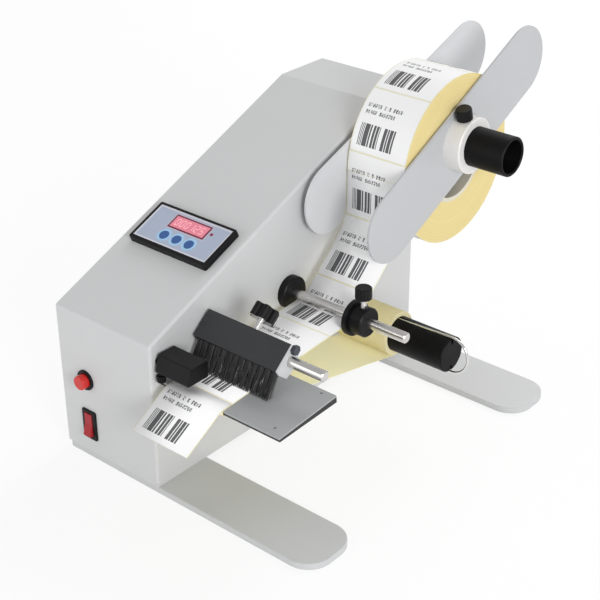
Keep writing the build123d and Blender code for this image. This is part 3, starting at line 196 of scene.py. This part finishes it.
def turned(name, colour, roughness=0.22, ring=0.35, metal=1.0):
    finish = Finish(name, Metallic=metal)
    rings = finish.clouds(ring, 2, (1, 0.02, 0.02))
    handling = finish.clouds(11, 3)
    worn = [part * 0.62 for part in colour]
    finish.set("Base Color", finish.mix(rings * 0.35 + handling * 0.15, colour, worn))
    finish.set("Roughness", roughness - 0.05 + handling * 0.12 + rings * 0.06)
    finish.relief(rings, 0.006)
    return finish


# painted light: glow makes the sheet emit a little light of its own colour
def paperSheet(name, colour, glow=0.0):
    finish = Finish(name, Specular_IOR_Level=0.25, Emission_Strength=glow)
    fibres = finish.clouds(1.4, 4, (1, 0.35, 0.35))
    waves = finish.clouds(26, 2, (0.35, 1, 1))
    tone = finish.mix(fibres * 0.25 + waves * 0.15, colour, [part * 0.86 for part in colour])
    finish.set("Base Color", tone)
    finish.set("Emission Color", tone)
    finish.set("Roughness", 0.55 + fibres * 0.12)
    finish.relief(fibres * 0.15 + waves, 0.35)
    return finish


# layers of paper seen from the side, as rings about an axis along X
def woundEdge(name, centre, colour, pitch=0.32):
    finish = Finish(name, Specular_IOR_Level=0.2)
    radius = finish.radius(centre)
    layer = finish.dice(radius // pitch)
    thick = finish.dice(radius // (pitch * 9), 3)
    fibres = finish.clouds(2.2, 3)
    darker = [part * share for part, share in zip(colour, (0.86, 0.78, 0.55))]
    finish.set("Base Color", finish.mix(layer * 0.22 + thick * 0.16 + fibres * 0.12, colour, darker))
    finish.set("Roughness", 0.68 + layer * 0.12)
    finish.relief(layer * 0.6 + thick * 0.4, 0.08)
    return finish


labelLook = {
    "pitch": 64.0,
    "length": 62.3,
    "width": 65.0,
    "margin": 0.8,
    "stripeStart": 6.0,
    "stripeEnd": 27.0,
    "printLeft": 5.5,
    "printRight": 46.0,
    "stripe": 0.85,
    "stripeShare": 0.46,
    "rows": (36.2, 43.0),
    "rowHeight": 3.8,
    "rowShort": 1.5,
    "sign": 2.6,
    "signGap": (0.25, 0.35),
    "signsInWord": 5,
    "dot": (0.5, 0.95),
    "white": (0.90, 0.90, 0.905),
    "backing": (0.80, 0.77, 0.58),
    "ink": (0.035, 0.035, 0.04),
}


# generic print: a field of stripes and two rows of small blocks on each label
def labelPrint(finish, across, along, look=labelLook):
    place = along % look["pitch"]
    onLabel = place.between(0.0, look["length"])
    onLabel = onLabel * across.between(look["margin"], look["width"] - look["margin"])
    ink = finish.dice(across // look["stripe"], 7) > look["stripeShare"]
    ink = ink * place.between(look["stripeStart"], look["stripeEnd"])
    ink = ink * across.between(look["printLeft"], look["printRight"])
    sign = across // look["sign"]
    gapBefore, gapAfter = look["signGap"]
    inSign = (across % look["sign"]).between(gapBefore, look["sign"] - gapAfter)
    dotWide, dotTall = look["dot"]
    rowEnd = look["printRight"] - look["rowShort"]
    for row, start in enumerate(look["rows"]):
        rise = place - start
        inRow = rise.between(0.0, look["rowHeight"]) * across.between(look["printLeft"], rowEnd)
        word = finish.dice(sign // look["signsInWord"], 11 + row) > 0.12
        dots = finish.dice(across // dotWide, rise // dotTall + 31 * (row + 1)) > 0.36
        keep = finish.dice(sign, 5 + row) > 0.14
        ink = ink + inRow * word * inSign * dots * keep
    fibres = finish.clouds(1.2, 3)
    base = finish.mix(onLabel, look["backing"], look["white"])
    base = finish.mix(fibres * 0.06, base, (0.55, 0.55, 0.5))
    wear = finish.clouds(0.7, 2)
    printed = finish.mix(ink * onLabel * (0.84 + wear * 0.16), base, look["ink"])
    finish.set("Base Color", printed)
    # the print is also the colour of the painted glow, where the sheet glows
    finish.set("Emission Color", printed)
    finish.set("Roughness", 0.42 + fibres * 0.12 + (1 - onLabel) * 0.1)
    finish.relief(onLabel * 0.7 + finish.clouds(30, 2) * 0.25, 0.16)


rollLook = {
    "centre": (304.0, 235.3),
    "inner": 42.05,
    "outer": 82.5,
    "start": 11.0,
    "end": 76.0,
    "steps": 144,
    "layers": 34,
    "rough": 0.09,
    "offset": 19.6,
}


# painted light: the single sheet glows a little, standing in for light coming through thin paper
def printedWeb(name, offset, glow):
    finish = Finish(name, Specular_IOR_Level=0.3, Emission_Strength=glow)
    across, along = finish.split(finish.node("ShaderNodeUVMap"))[:2]
    labelPrint(finish, across, along - offset)
    return finish


def printedRoll(name, look=rollLook):
    finish = Finish(name, Specular_IOR_Level=0.3)
    side = finish.y - look["centre"][0]
    rise = finish.z - look["centre"][1]
    turn = finish.node("ShaderNodeMath", {"operation": "ARCTAN2"}, {0: rise, 1: 0 - side})
    labelPrint(finish, finish.x - look["start"], (turn % math.tau) * look["outer"] - look["offset"])
    return finish


brushHub = (36.5, 145.699)
brushLean = 40.5
knobBlack = (0.004, 0.004, 0.005)
knobWorn = (0.007, 0.007, 0.008)
stemSteel = (0.68, 0.67, 0.66)
housingPaint = painted("housingPaint", (0.595, 0.60, 0.605))
footPaint = painted("footPaint", (0.55, 0.56, 0.565))
# painted light: one blade paint in two copies, a darker shaded grey for the outer blade and a lighter lit
# grey for the inner blade
bladePaintShaded = painted("bladePaintShaded", (0.49, 0.50, 0.515), 0.42, 0.006)
bladePaintLit = painted("bladePaintLit", (0.66, 0.67, 0.685), 0.40, 0.006)
tablePaint = painted("tablePaint", (0.36, 0.37, 0.375), 0.45, 0.008)
tableDark = painted("tableDark", (0.009, 0.009, 0.010), 0.46, 0.01)
rodSteel = turned("rodSteel", (0.72, 0.70, 0.68))
wireSteel = turned("wireSteel", (0.82, 0.81, 0.80), 0.15, 2.0)
screwSteel = turned("screwSteel", (0.60, 0.60, 0.58), 0.32, 0.8)
darkSteel = turned("darkSteel", (0.10, 0.11, 0.13), 0.34, 0.8)
sheetSteel = turned("sheetSteel", (0.55, 0.56, 0.57), 0.4, 2.5)
blackAnodised = moulded("blackAnodised", (0.0035, 0.0035, 0.004), 0.5, 0.006, 0.14)
bezelPlastic = moulded("bezelPlastic", (0.005, 0.005, 0.006), 0.48, 0.02, 0.2)
knobPlastic = moulded("knobPlastic", knobBlack, 0.44, 0.03, 0.22)
sensorPlastic = moulded("sensorPlastic", (0.004, 0.004, 0.005), 0.5, 0.03, 0.2)
hubNylon = moulded("hubNylon", (0.84, 0.83, 0.81), 0.38, 0.01)
keyRubber = moulded("keyRubber", (0.035, 0.11, 0.33), 0.5, 0.02)
redButton = moulded("redButton", (0.62, 0.018, 0.015), 0.24, 0.008)
redRocker = moulded("redRocker", (0.40, 0.022, 0.030), 0.38, 0.008, 0.25)
brushBar = moulded("brushBar", (0.02, 0.02, 0.022), 0.55, 0.04)
nylonWhite = moulded("nylonWhite", (0.72, 0.72, 0.70), 0.4, 0.01)
ironCore = painted("ironCore", (0.09, 0.085, 0.085), 0.45, 0.02)
motorCase = turned("motorCase", (0.36, 0.37, 0.38), 0.36, 1.6)
# painted light: the liner glows a little of its own colour
linerPaper = paperSheet("linerPaper", (0.93, 0.89, 0.62), 0.16)
coreCard = paperSheet("coreCard", (0.70, 0.66, 0.55))
rollEdge = woundEdge("rollEdge", rollLook["centre"], (0.78, 0.66, 0.33))
linerEdge = woundEdge("linerEdge", (221.0, 82.0), (0.80, 0.74, 0.48), 0.25)
rollPrint = printedRoll("rollPrint")
print("finishes made")


# moulded knob on a steel stem that shows up to a reach along its axis
def knobOnStem(name, foot, angle, reach):
    finish = moulded(name, knobBlack, 0.44, 0.03, 0.22)
    lean = math.radians(angle)
    along = (finish.y - foot[0]) * math.cos(lean) + (finish.z - foot[1]) * math.sin(lean)
    stem = along < reach
    wear = finish.clouds(1.5, 2)
    finish.set("Base Color", finish.mix(stem, finish.mix(wear, knobBlack, knobWorn), stemSteel))
    finish.set("Metallic", stem)
    finish.set("Roughness", 0.40 - stem * 0.16 + wear * 0.08)
    return finish


# brush holder: dark plate and block, with a lighter right cheek
holderLook = {
    "dark": (0.027, 0.028, 0.031),
    "darker": (0.018, 0.019, 0.021),
    "light": (0.60, 0.61, 0.62),
    "duller": (0.50, 0.51, 0.52),
    "cheekFrom": 98.3,
}


def holderFinish(name, look=holderLook):
    finish = painted(name, look["dark"], 0.5, 0.01)
    wide = finish.clouds(18, 3)
    dark = finish.mix(wide * 0.5, look["dark"], look["darker"])
    light = finish.mix(wide * 0.4, look["light"], look["duller"])
    finish.set("Base Color", finish.mix(finish.x > look["cheekFrom"], dark, light))
    return finish


# printed front of the counter, in its own tilted plane
faceLook = {
    "origin": (-60.0, 74.99, 196.12),
    "lean": (0.921664, 0.387991),
    "window": (1.5, 9.2, 20.5, 6.5),
    "keys": ((-15.4, -8.7), (0.2, -8.7), (15.8, -8.7)),
    "sheet": (0.40, 0.45, 0.57),
    "light": (0.72, 0.72, 0.80),
    "halo": (0.36, 0.60, 0.86),
    "frame": (0.14, 0.012, 0.035),
    "shade": (0.37, 0.43, 0.54),
    "blush": (0.78, 0.55, 0.62),
    "rimAcross": (42.6, 44.2),
    "rimAlong": (18.2, 19.8),
    "haloReach": (8.6, 6.2),
    "frameWidth": (1.9, 1.7),
    "blushWidth": (3.0, 2.8),
}


def facePrint(name, look=faceLook):
    finish = Finish(name, Specular_IOR_Level=0.55, Coat_Weight=0.25, Coat_Roughness=0.2)
    cosLean, sinLean = look["lean"]
    across = finish.x - look["origin"][0]
    along = (finish.y - look["origin"][1]) * cosLean + (finish.z - look["origin"][2]) * sinLean
    grain = finish.clouds(0.8, 2)
    tone = finish.clouds(24, 2)
    base = finish.mix(tone * 0.5, look["sheet"], look["shade"])
    rim = finish.slope(abs(across), *look["rimAcross"]) + finish.slope(abs(along - 0.5), *look["rimAlong"])
    base = finish.mix(finish.slope(rim, 0.1, 0.9), base, look["light"])
    for keyX, keyY in look["keys"]:
        side = across - keyX
        rise = along - keyY
        reach = (side * side + rise * rise).power(0.5)
        base = finish.mix(finish.slope(reach, *look["haloReach"]), base, look["halo"])
    windowX, windowY, halfWidth, halfHeight = look["window"]
    awayX = abs(across - windowX) - halfWidth
    awayY = abs(along - windowY) - halfHeight
    outer = (awayX < look["frameWidth"][0]) * (awayY < look["frameWidth"][1])
    pale = (awayX < look["blushWidth"][0]) * (awayY < look["blushWidth"][1])
    base = finish.mix(pale * 0.35, base, look["blush"])
    base = finish.mix(outer, base, look["frame"])
    finish.set("Base Color", base)
    finish.set("Roughness", 0.34 + grain * 0.08)
    finish.relief(grain * 0.3 + outer * 0.7, 0.02)
    return finish


# painted light: the red window glows evenly over its whole face
def windowGlow(name):
    finish = Finish(name, Specular_IOR_Level=0.5, Emission_Strength=0.2)
    tone = finish.clouds(7, 2)
    finish.set("Base Color", finish.mix(tone * 0.6, (0.66, 0.20, 0.26), (0.56, 0.14, 0.19)))
    finish.set("Emission Color", finish.mix(tone, (1.0, 0.36, 0.46), (0.9, 0.28, 0.38)))
    finish.set("Roughness", 0.16 + tone * 0.08)
    return finish


# control board: green laminate with lighter tracks, dark parts and a pale terminal strip
boardLook = {"top": 20.65, "stripTo": 33.0, "track": (2.1, 3.4)}


def boardFinish(name, look=boardLook):
    finish = Finish(name, Specular_IOR_Level=0.5)
    parts = finish.z > look["top"]
    strip = parts * (finish.y < look["stripTo"])
    tracks = finish.dice(finish.x // look["track"][0], finish.y // look["track"][1]) > 0.55
    green = finish.mix(tracks * 0.5, (0.016, 0.115, 0.045), (0.03, 0.19, 0.07))
    dark = finish.mix(strip, (0.03, 0.03, 0.035), (0.05, 0.22, 0.30))
    finish.set("Base Color", finish.mix(parts, green, dark))
    finish.set("Roughness", 0.3 + finish.clouds(3, 2) * 0.2)
    finish.relief(tracks * (1 - parts), 0.03)
    return finish


# mains inlet: black body with plated pins in its socket
inletLook = {
    "middle": 60.0,
    "earth": (1.05, 46.95, 51.05),
    "pair": (5.95, 8.05, 41.95, 46.05),
    "depth": (328.1, 342.1),
    "black": (0.012, 0.012, 0.013),
    "plated": (0.72, 0.70, 0.66),
}


def inletFinish(name, look=inletLook):
    finish = moulded(name, look["black"], 0.42)
    grain = finish.clouds(2, 2)
    away = abs(finish.x + look["middle"])
    halfWidth, low, high = look["earth"]
    pins = (away < halfWidth) * finish.z.between(low, high)
    near, far, low, high = look["pair"]
    pins = pins + away.between(near, far) * finish.z.between(low, high)
    pins = pins * finish.y.between(*look["depth"])
    finish.set("Base Color", finish.mix(pins, look["black"], look["plated"]))
    finish.set("Metallic", pins)
    finish.set("Roughness", 0.42 - pins * 0.18 + grain * 0.08)
    return finish


finishOfNode = {
    housingPaint: ["housing_shell", "left_cover", "base_plate"],
    footPaint: ["front_foot", "rear_foot"],
    screwSteel: ["cover_screws", "foot_screws", "axle_nuts", "wall_nuts"],
    rodSteel: ["guide_rod", "brush_rod", "spindle_axle", "rewind_shaft"],
    wireSteel: ["wire_clip"],
    darkSteel: ["brush_tie_bolt"],
    sheetSteel: ["motor_bracket"],
    bezelPlastic: [
        "counter_bezel",
        "counter_body",
        "reset_body",
        "reset_nut",
        "rocker_frame",
        "rewind_bearing",
    ],
    knobPlastic: ["sensor_knob", "inner_collar", "outer_collar"],
    knobOnStem("hubKnob", (304.0, 254.0), 105, 28.5): ["hub_knob"],
    knobOnStem("collarKnob", (149.0, 132.0), 90, 23.3): ["collar_knob"],
    knobOnStem("brushKnob", brushHub, brushLean, 22.5): ["brush_knob"],
    sensorPlastic: ["sensor_block"],
    hubNylon: ["inner_hub", "outer_hub", "reel_bush"],
    bladePaintShaded: ["outer_blade"],
    bladePaintLit: ["inner_blade"],
    blackAnodised: ["reel_tube", "rewind_roller"],
    tablePaint: ["peel_plate", "table_screws"],
    tableDark: ["table_base"],
    keyRubber: ["key_left", "key_middle", "key_right"],
    redButton: ["reset_cap"],
    redRocker: ["power_rocker"],
    brushBar: ["brush_back"],
    nylonWhite: ["board_pillars"],
    ironCore: ["transformer"],
    motorCase: ["gearmotor"],
    linerPaper: ["liner_web"],
    coreCard: ["label_core"],
    holderFinish("holderPaint"): ["brush_holder"],
    facePrint("facePrint"): ["counter_face"],
    windowGlow("windowGlow"): ["display_window"],
    boardFinish("boardLaminate"): ["control_board"],
    inletFinish("inletBlack"): ["power_inlet"],
    linerEdge: ["wound_liner"],
}
for finish, names in finishOfNode.items():
    for name in names:
        for place in nodes[name].material_slots:
            place.material = finish.material
print("finishes on the frame")


# one mesh object that rides on a body
def makePiece(name, shape, finishes, body, replaced=(), sharp=35):
    mesh = bpy.data.meshes.new(name)
    shape.to_mesh(mesh)
    shape.free()
    for finish in finishes:
        mesh.materials.append(finish.material)
    mesh.shade_smooth()
    mesh.set_sharp_from_angle(angle=math.radians(sharp))
    piece = bpy.data.objects.new(name, mesh)
    bpy.context.scene.collection.objects.link(piece)
    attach(piece, body)
    if replaced:
        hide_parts(*replaced)
    return piece


# side view place from a distance along the table's top and a height above it
tableLook = {"front": (-22.0, 115.0), "lean": math.radians(4.3)}


def onTable(along, above, look=tableLook):
    cosLean, sinLean = math.cos(look["lean"]), math.sin(look["lean"])
    y = look["front"][0] + along * cosLean - above * sinLean
    z = look["front"][1] + along * sinLean + above * cosLean
    return (y, z)


# a paper strip through points in the side view, with a radius for each inner point
def paperStrip(name, look, finishes, body, replaced):
    points = look["points"]
    shape = bmesh.new()
    row = [shape.verts.new((look["start"] * mm, y * mm, z * mm)) for y, z in points]
    edges = [shape.edges.new(pair) for pair in zip(row, row[1:])]
    made = bmesh.ops.extrude_edge_only(shape, edges=edges)["geom"]
    moved = [part for part in made if isinstance(part, bmesh.types.BMVert)]
    bmesh.ops.translate(shape, vec=((look["end"] - look["start"]) * mm, 0, 0), verts=moved)
    for before, corner, after, radius in zip(points, points[1:], points[2:], look["bends"]):
        first = Vector(corner) - Vector(before)
        second = Vector(after) - Vector(corner)
        tangent = radius * math.tan(first.angle(second) / 2)
        at = Vector(corner) * mm
        creases = [
            edge
            for edge in shape.edges
            if len(edge.link_faces) == 2 and all((vert.co.yz - at).length < 1e-6 for vert in edge.verts)
        ]
        bmesh.ops.bevel(
            shape,
            geom=creases,
            offset=tangent * mm,
            offset_type="OFFSET",
            affect="EDGES",
            segments=look["segments"],
            profile=0.5,
            material=-1,
        )
    measureStrip(shape, points[-1], look)
    shape.normal_update()
    end = Vector(points[-1]) * mm
    front = min(shape.faces, key=lambda face: (face.calc_center_median().yz - end).length)
    if front.normal.z < 0:
        bmesh.ops.reverse_faces(shape, faces=shape.faces)
    piece = makePiece(name, shape, finishes, body, replaced)
    wall = piece.modifiers.new("wall", "SOLIDIFY")
    wall.thickness = look["thick"] * mm
    wall.offset = 0
    wall.material_offset = 1
    wall.material_offset_rim = 1
    return piece


# UV in mm: across the strip and along it, from its front end
def measureStrip(shape, end, look):
    left = look["start"] * mm
    rail = {vert for vert in shape.verts if abs(vert.co.x - left) < 1e-7}
    here = min(rail, key=lambda vert: (vert.co.yz - Vector(end) * mm).length)
    distance = {}
    travelled = 0.0
    while here is not None:
        for edge in here.link_edges:
            partner = edge.other_vert(here)
            if partner not in rail:
                distance[partner] = travelled
        distance[here] = travelled
        onward = [edge for edge in here.link_edges if edge.other_vert(here) in rail - set(distance)]
        if onward:
            travelled += onward[0].calc_length() / mm
            here = onward[0].other_vert(here)
        else:
            here = None
    layer = shape.loops.layers.uv.new("UVMap")
    for face in shape.faces:
        for loop in face.loops:
            loop[layer].uv = ((loop.vert.co.x - left) / mm, distance[loop.vert])


webFront = rollLook["centre"][0] - rollLook["outer"] - 0.45
webLook = {
    "start": 11.0,
    "end": 76.0,
    "thick": 0.3,
    "segments": 10,
    "firstLabel": 4.8,
    "points": [
        (webFront, 235.3),
        (webFront, 187.0),
        (196.0, 160.6),
        (164.7, 133.1),
        (150.2, 126.5),
        onTable(73.2, 0.35),
        onTable(8.0, 0.35),
    ],
    "bends": [40.0, 200.0, 40.0, 6.0, 20.0],
}
webPrint = printedWeb("webPrint", webLook["firstLabel"], 0.13)
webFinishes = [webPrint, linerPaper]
paperStrip("webPaper", webLook, webFinishes, "housing", ["label_web"])

tongueBend = onTable(-2.0, 0.7)
tongueReach = 48.5
tongueDroop = math.radians(30)
tongueEnd = (
    tongueBend[0] - tongueReach * math.cos(tongueDroop),
    tongueBend[1] - tongueReach * math.sin(tongueDroop),
)
tongueLook = {
    "start": 11.0,
    "end": 76.0,
    "thick": 0.3,
    "segments": 12,
    "points": [onTable(11.0, 0.7), tongueBend, tongueEnd],
    "bends": [12.0],
}
tonguePrint = printedWeb("tonguePrint", 0.0, 0.05)
tongueFinishes = [tonguePrint, rollEdge]
paperStrip("labelTongue", tongueLook, tongueFinishes, "housing", ["dispensed_label"])
print("web made")


# roll: paper layers that stand out a little unevenly at both sides
def rollPaper(look=rollLook):
    dice = random.Random(5)
    centre = Vector((0, look["centre"][0] * mm, look["centre"][1] * mm))
    shape = bmesh.new()
    layers = look["layers"]
    layer = (look["outer"] - look["inner"]) / layers
    steps = [look["inner"] + layer * number for number in range(layers + 1)]
    right = []
    for number, r in enumerate(steps):
        right.append((look["end"] - dice.random() * look["rough"] * (0 < number < layers), r))
    left = []
    for number, r in enumerate(steps):
        left.append((look["start"] + dice.random() * look["rough"] * (0 < number < layers), r))
    loop = [shape.verts.new((x * mm, centre.y, centre.z + r * mm)) for x, r in right + left[::-1]]
    for first, second in zip(loop, loop[1:] + loop[:1]):
        shape.edges.new((first, second))
    bmesh.ops.spin(
        shape,
        geom=shape.verts[:] + shape.edges[:],
        cent=centre,
        axis=(1, 0, 0),
        angle=math.tau,
        steps=look["steps"],
        use_merge=True,
    )
    bmesh.ops.remove_doubles(shape, verts=shape.verts, dist=1e-7)
    bmesh.ops.recalc_face_normals(shape, faces=shape.faces)
    for face in shape.faces:
        middleOfFace = face.calc_center_median() - centre
        reach = math.hypot(middleOfFace.y, middleOfFace.z) / mm
        printed = reach > look["outer"] - 0.2 and abs(face.normal.x) < 0.5
        face.material_index = 1 if printed else 0
    return shape


rollFinishes = [rollEdge, rollPrint]
makePiece("rollPaper", rollPaper(), rollFinishes, "roll", ["label_roll"], sharp=25)
print("roll made")


# brush: single filaments in thirteen tufts
brushLook = {
    "tufts": 13,
    "pitch": 93.0 / 13,
    "first": 5.0,
    "width": 5.4,
    "across": 8,
    "deep": 7,
    "thick": 0.25,
    "splay": 1.0,
    "rootHigh": (-15.0, 5.4),
    "rootLow": (-15.0, 0.8),
    "tipFront": 31.0,
    "tipRear": 36.6,
    "tipLevel": 0.85,
    "rootShare": 0.8,
    "tipShare": 0.8,
    "corners": 5,
}


# a place in the brush holder's own lean, seen from the side
def inHolder(back, up):
    lean = math.radians(brushLean)
    run = Vector((math.cos(lean), math.sin(lean)))
    rise = Vector((-math.sin(lean), math.cos(lean)))
    return Vector(brushHub) + back * run + up * rise


def bristleRows(look=brushLook):
    dice = random.Random(11)
    high = inHolder(*look["rootHigh"])
    low = inHolder(*look["rootLow"])
    front = Vector(onTable(look["tipFront"], look["tipLevel"]))
    rear = Vector(onTable(look["tipRear"], look["tipLevel"]))
    shape = bmesh.new()
    for tuft in range(look["tufts"]):
        middle = look["first"] + (tuft + 0.5) * look["pitch"]
        for column in range(look["across"]):
            side = (column / (look["across"] - 1) - 0.5) * (look["width"] - look["thick"])
            for line in range(look["deep"]):
                share = min(max((line + dice.uniform(-0.3, 0.3)) / (look["deep"] - 1), 0), 1)
                root = high.lerp(low, share)
                tip = front.lerp(rear, share)
                away = dice.uniform(-look["splay"], look["splay"])
                start = Vector((middle + side * look["rootShare"], root.x, root.y)) * mm
                end = Vector((middle + side + away, tip.x, tip.y + dice.uniform(0, 0.5))) * mm
                run = end - start
                turn = run.to_track_quat("Z", "Y").to_matrix().to_4x4()
                bmesh.ops.create_cone(
                    shape,
                    cap_ends=True,
                    segments=look["corners"],
                    radius1=look["thick"] * mm,
                    radius2=look["thick"] * look["tipShare"] * mm,
                    depth=run.length,
                    matrix=Matrix.Translation((start + end) / 2) @ turn,
                )
    return shape


def bristleFinish(name):
    finish = Finish(name, Specular_IOR_Level=0.5)
    # painted highlight: lighter streaks along the filaments stand in for glints; the same streaks also
    # vary the roughness
    glintStreaks = finish.clouds(0.9, 2, (1, 0.15, 0.15))
    finish.set("Base Color", finish.mix(glintStreaks * 0.8, (0.003, 0.003, 0.0035), (0.024, 0.024, 0.026)))
    finish.set("Roughness", 0.30 + glintStreaks * 0.14)
    return finish


bristleNylon = bristleFinish("bristleNylon")
makePiece("brushBristles", bristleRows(), [bristleNylon], "brush", ["bristles"], sharp=60)
print("brush made")


# numbers and light of the counter
def counterPoint(across, along, out, look=faceLook):
    cosLean, sinLean = look["lean"]
    return Vector(
        (
            look["origin"][0] + across,
            look["origin"][1] + along * cosLean - out * sinLean,
            look["origin"][2] + along * sinLean + out * cosLean,
        )
    )


counterTurn = Matrix.Rotation(math.atan2(*faceLook["lean"][::-1]), 4, "X")
digitLook = {
    "pitch": 6.0,
    "width": 3.4,
    "height": 7.4,
    "bar": 0.62,
    "gap": 0.3,
    "thick": 0.06,
    "round": 0.02,
    "out": 6.4,
    "lean": 0.5,
    "value": "000125",
}
barsOfNumber = {"0": "abcdef", "1": "bc", "2": "abged", "5": "afgcd"}


def digitBars(look=digitLook):
    shape = bmesh.new()
    windowX, windowY = faceLook["window"][:2]
    half, tall = look["width"] / 2, look["height"] / 2
    places = {
        "a": (0, tall, True),
        "g": (0, 0, True),
        "d": (0, -tall, True),
        "b": (half, tall / 2, False),
        "c": (half, -tall / 2, False),
        "f": (-half, tall / 2, False),
        "e": (-half, -tall / 2, False),
    }
    for number, sign in enumerate(look["value"]):
        middle = windowX + (number - (len(look["value"]) - 1) / 2) * look["pitch"]
        for bar in barsOfNumber[sign]:
            side, rise, flat = places[bar]
            long = (look["width"] if flat else tall) - look["gap"]
            wide, high = (long, look["bar"]) if flat else (look["bar"], long)
            slant = rise * look["lean"] / tall
            at = counterPoint(middle + side + slant, windowY + rise, look["out"]) * mm
            block = Matrix.Diagonal((wide * mm, high * mm, look["thick"] * mm, 1))
            place = Matrix.Translation(at) @ counterTurn @ block
            corners = bmesh.ops.create_cube(shape, size=1, matrix=place)["verts"]
            edges = [edge for edge in shape.edges if set(edge.verts) <= set(corners)]
            bmesh.ops.bevel(
                shape,
                geom=edges,
                offset=look["round"] * mm,
                affect="EDGES",
                segments=1,
                profile=0.5,
                material=-1,
            )
    return shape


def litFinish(name, colour, strength):
    finish = Finish(name, Emission_Strength=strength, Roughness=0.3)
    tone = finish.clouds(0.8, 2)
    finish.set("Base Color", finish.mix(tone * 0.3, colour, [part * 0.8 for part in colour]))
    finish.set("Emission Color", finish.mix(tone * 0.3, colour, [part * 0.85 for part in colour]))
    return finish


digitLight = litFinish("digitLight", (1.0, 0.50, 0.54), 0.3)
makePiece("displayDigits", digitBars(), [digitLight], "housing")

lightLook = {"place": (28.0, 9.8), "radius": 1.7, "height": 0.7, "out": 6.1}


def statusDome(look=lightLook):
    shape = bmesh.new()
    bmesh.ops.create_uvsphere(shape, u_segments=24, v_segments=12, radius=look["radius"] * mm)
    bmesh.ops.bisect_plane(
        shape,
        geom=shape.verts[:] + shape.edges[:] + shape.faces[:],
        plane_co=(0, 0, 0),
        plane_no=(0, 0, 1),
        clear_inner=True,
    )
    bmesh.ops.holes_fill(shape, edges=[edge for edge in shape.edges if len(edge.link_faces) == 1])
    bmesh.ops.scale(shape, vec=(1, 1, look["height"] / look["radius"]), verts=shape.verts)
    place = Matrix.Translation(counterPoint(*look["place"], look["out"]) * mm) @ counterTurn
    bmesh.ops.transform(shape, matrix=place, verts=shape.verts)
    bmesh.ops.recalc_face_normals(shape, faces=shape.faces)
    return shape


statusRed = moulded("statusRed", (0.30, 0.02, 0.06), 0.25, 0.004)
makePiece("statusLight", statusDome(), [statusRed], "housing")
print("counter made")


# floor that glows to the camera and keeps its shadows
stageLook = {"size": 30.0, "floor": (0.93, 0.93, 0.935), "glow": 0.82, "world": 0.55}


def makeFloor(look=stageLook):
    shape = bmesh.new()
    bmesh.ops.create_grid(shape, x_segments=1, y_segments=1, size=look["size"] / 2)
    mesh = bpy.data.meshes.new("floor")
    shape.to_mesh(mesh)
    shape.free()
    floor = bpy.data.objects.new("floor", mesh)
    bpy.context.scene.collection.objects.link(floor)
    finish = Finish("floorWhite", Roughness=0.9, Specular_IOR_Level=0.1)
    finish.set("Base Color", look["floor"])
    seen = finish.node("ShaderNodeLightPath", out="Is Camera Ray")
    for ray in ("Is Glossy Ray", "Is Transmission Ray"):
        seen = seen + finish.node("ShaderNodeLightPath", out=ray)
    glow = finish.node("ShaderNodeEmission", {}, {"Color": (1.0, 1.0, 1.0), "Strength": 1.0})
    matt = Signal(finish, finish.shader.outputs[0])
    surface = finish.node("ShaderNodeMixShader", {}, {0: seen * look["glow"], 1: matt, 2: glow})
    finish.feed(finish.tree.nodes["Material Output"].inputs["Surface"], surface)
    mesh.materials.append(finish.material)


makeFloor()
world = bpy.data.worlds.new("studio")
bpy.context.scene.world = world
world.use_nodes = True
links = world.node_tree.links
background = world.node_tree.nodes["Background"]
background.inputs["Color"].default_value = (1, 1, 1, 1)
rays = world.node_tree.nodes.new("ShaderNodeLightPath")
strength = world.node_tree.nodes.new("ShaderNodeMapRange")
strength.inputs["To Min"].default_value = stageLook["world"]
strength.inputs["To Max"].default_value = 1.0
links.new(rays.outputs["Is Camera Ray"], strength.inputs["Value"])
links.new(strength.outputs["Result"], background.inputs["Strength"])

lamps = {
    "keyLamp": {"place": (2.5, -1.1, 1.05), "size": 1.15, "power": 42.0},
    "fillLamp": {"place": (-1.2, -2.2, 0.8), "size": 1.8, "power": 12.0},
    "topLamp": {"place": (-0.2, 2.3, 1.8), "size": 2.0, "power": 38.0},
}
aim = Vector((0.0, 0.16, 0.14))
for name, look in lamps.items():
    light = bpy.data.lights.new(name, "AREA")
    light.shape = "DISK"
    light.size = look["size"]
    light.energy = look["power"]
    lamp = bpy.data.objects.new(name, light)
    lamp.location = look["place"]
    lamp.rotation_mode = "QUATERNION"
    lamp.rotation_quaternion = (aim - Vector(look["place"])).to_track_quat("-Z", "Y")
    bpy.context.scene.collection.objects.link(lamp)

cameraLook = {
    "place": (0.759154, -0.714558, 0.754105),
    "yaw": math.radians(40.8),
    "pitch": math.radians(28.808),
    "roll": math.radians(-0.415),
    "focal": 1393.05,
    "frame": 600.0,
}
yaw, pitch, roll = cameraLook["yaw"], cameraLook["pitch"], cameraLook["roll"]
level = Vector((math.cos(yaw), math.sin(yaw), 0))
ahead = Vector((-math.sin(yaw), math.cos(yaw), 0))
forward = math.cos(pitch) * ahead - math.sin(pitch) * Vector((0, 0, 1))
upright = level.cross(forward)
right = math.cos(roll) * level + math.sin(roll) * upright
up = math.cos(roll) * upright - math.sin(roll) * level
lens = bpy.data.cameras.new("camera")
lens.sensor_width = 36.0
lens.lens = cameraLook["focal"] * lens.sensor_width / cameraLook["frame"]
camera = bpy.data.objects.new("camera", lens)
turn = Matrix((right, up, -forward)).transposed().to_4x4()
camera.matrix_world = Matrix.Translation(cameraLook["place"]) @ turn
bpy.context.scene.collection.objects.link(camera)
bpy.context.scene.camera = camera
bpy.context.scene.view_settings.view_transform = "Standard"
print("stage made")
